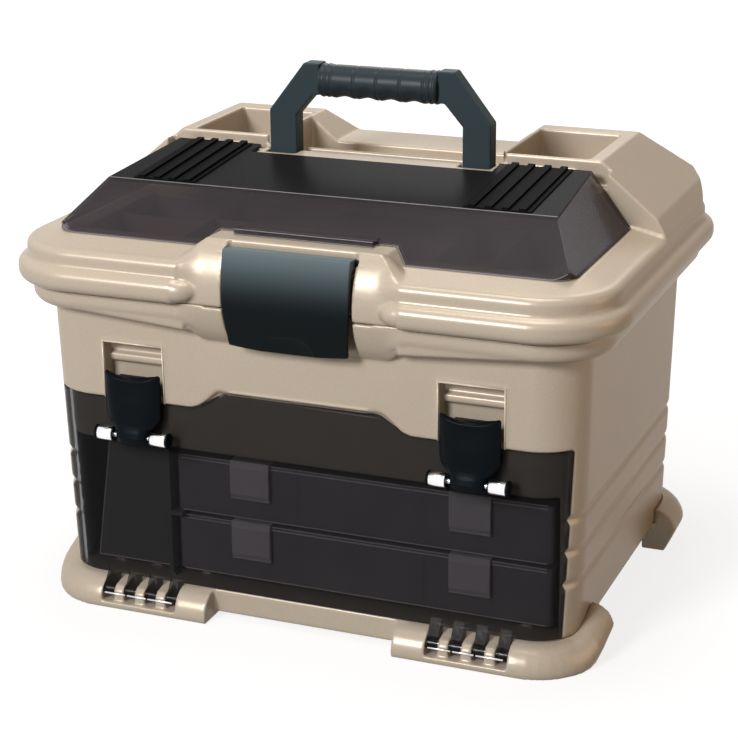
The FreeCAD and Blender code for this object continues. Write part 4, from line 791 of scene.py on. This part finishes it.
# ---------------------------------------------------------------- hatch
# The smoke-tinted hatch over the organiser, hinged at its back edge on short pins. Its
# flat top is painted opaque near black, a painted shade for the dark inside seen through
# the smoke, and two ribbed grip pads stand on it.
CROWN_FLAT, CROWN_BASE_METRES = 0.97, 0.3055
RIDGE_RADIUS_METRES = 0.00035
RIDGE_FRONT_METRES, RIDGE_FOOT_METRES, RIDGE_END_METRES = -0.09, 0.27, 0.186


def on_hatch_ridge(near, far):
    """The hatch's front edges that run across it, clear of its foot and its ends."""
    return (max(near.y, far.y) < RIDGE_FRONT_METRES and near.z > RIDGE_FOOT_METRES
            and abs(near.x) < RIDGE_END_METRES
            and abs(near.x - far.x) > abs(near.z - far.z) * 0.8)


slope_smoke = clear_finish("hatch_slope_smoke", (0.56, 0.535, 0.545), (0.13, 0.115, 0.12),
                           0.22, 0.18)
hatch = clear_panel("hatch_window", "hatch", "hatch", slope_smoke, 0.0009)
hatch_painted_shade = plain_finish("hatch_top_painted_shade", (0.012, 0.0115, 0.012), 0.28, 0.00002, 0.006)
hatch.data.materials.append(hatch_painted_shade)
# Painted shade: the flat top faces take the opaque near-black finish.
for face in hatch.data.polygons:
    if abs(face.normal.z) > CROWN_FLAT and face.center.z > CROWN_BASE_METRES:
        face.material_index = 1
pad_black = plain_finish("pad_black", (0.007, 0.007, 0.0075), 0.45, 0.0001, 0.004)
keep("hatch_grip_pads", pad_black)
# Painted highlight: a pale tube along the hatch's front ridge.
ridge_painted_highlight = plain_finish("ridge_painted_highlight", (0.17, 0.155, 0.16), 0.3, 0.00002)
edge_lines("hatch_window", "hatch_edges", "hatch", ridge_painted_highlight,
           RIDGE_RADIUS_METRES, on_hatch_ridge)


# ---------------------------------------------------------------- carrying handle
# A folding bail in blue-black plastic, pinned to the lid at both feet. Its grip is a
# softer moulded sleeve with swells for the fingers and a double ring at each end.
GRIP_HALF, GRIP_RINGS = 46, 185
GRIP_LINE = (13, 367.3)                     # y and z of the grip
GRIP_RADIUS, FINGER_SWELL = 11.8, 0.8
SEAM_PITCH, SEAM_HALF, SEAM_DEEP = 18, 0.8, 0.55
RING_PLACES, RING_HALF, RING_LIFT = (39.8, 44), 0.9, 0.6
SEAM_REACH = 37

bail_black = black_finish("bail_black", (0.033, 0.048, 0.055), 0.40)
moulding("handle_frame", "handle_bail", "handle", bail_black, 0.0007, 2)
grip_black = black_finish("grip_black", (0.022, 0.031, 0.036), 0.36, 0.12)


def grip_sleeve(mesh):
    """The grip, ring by ring along the bail."""
    rings = []
    for index in range(GRIP_RINGS):
        along = -GRIP_HALF + index / 2
        from_seam = (along + SEAM_PITCH / 2) % SEAM_PITCH - SEAM_PITCH / 2
        held = abs(along) < SEAM_REACH
        seam = math.exp(-(from_seam / SEAM_HALF) ** 2) if held else 0
        raised = sum(math.exp(-((abs(along) - place) / RING_HALF) ** 2) for place in RING_PLACES)
        end = 0.9 if index in (0, GRIP_RINGS - 1) else 1.0
        ring = []
        for step in range(40):
            turn = 2 * math.pi * step / 40
            under = max(0.0, -math.sin(turn))
            swell = FINGER_SWELL * under * math.cos(2 * math.pi * along / SEAM_PITCH) if held else 0
            radius = (GRIP_RADIUS + swell - SEAM_DEEP * seam + RING_LIFT * raised) * end
            ring.append((along, GRIP_LINE[0] + radius * math.cos(turn),
                         GRIP_LINE[1] + radius * math.sin(turn)))
        rings.append(ring)
    loft(mesh, rings)


made("grip_sleeve", grip_sleeve, "handle", grip_black, node="handle_grip")


# ---------------------------------------------------------------- lid latch
# The broad curved cover that holds the lid down, moulded in blue-black plastic and hung
# on a pin in the lid. A shallow scoop takes the fingertip, and its bottom edge is bowed.
COVER_HALF_METRES, COVER_BOW_METRES = 0.0465, 0.0028
SCOOP_LEVEL_METRES, SCOOP_HIGH_METRES = 0.217, 0.011
SCOOP_HALF_METRES, SCOOP_DEEP_METRES = 0.019, 0.0013
COVER_FACE_METRES = -0.158

# The lighter blue-grey towards the cover's top edge is a painted highlight.
cover_black = black_finish("cover_black", (0.0045, 0.0065, 0.0075), 0.36, 0.06,
                           (0.12, 0.16, 0.172), 0.24, 0.30)
keep("lid_latch_pin", blue_black)
cover = moulding("lid_latch_cover", "lid_cover", "lid_latch", cover_black, 0.0006, 3)
for vert in cover.data.vertices:
    wide = vert.co.x / COVER_HALF_METRES
    level = (vert.co.z - SCOOP_LEVEL_METRES) / SCOOP_HIGH_METRES
    if vert.co.y < COVER_FACE_METRES:
        scoop = 1 - (vert.co.x / SCOOP_HALF_METRES) ** 2 - level * level
        vert.co.y += SCOOP_DEEP_METRES * max(0.0, scoop) ** 0.5
    bow = max(0.0, 1 - wide * wide) * max(0.0, 1 - max(0.0, level)) ** 2
    vert.co.z -= COVER_BOW_METRES * bow
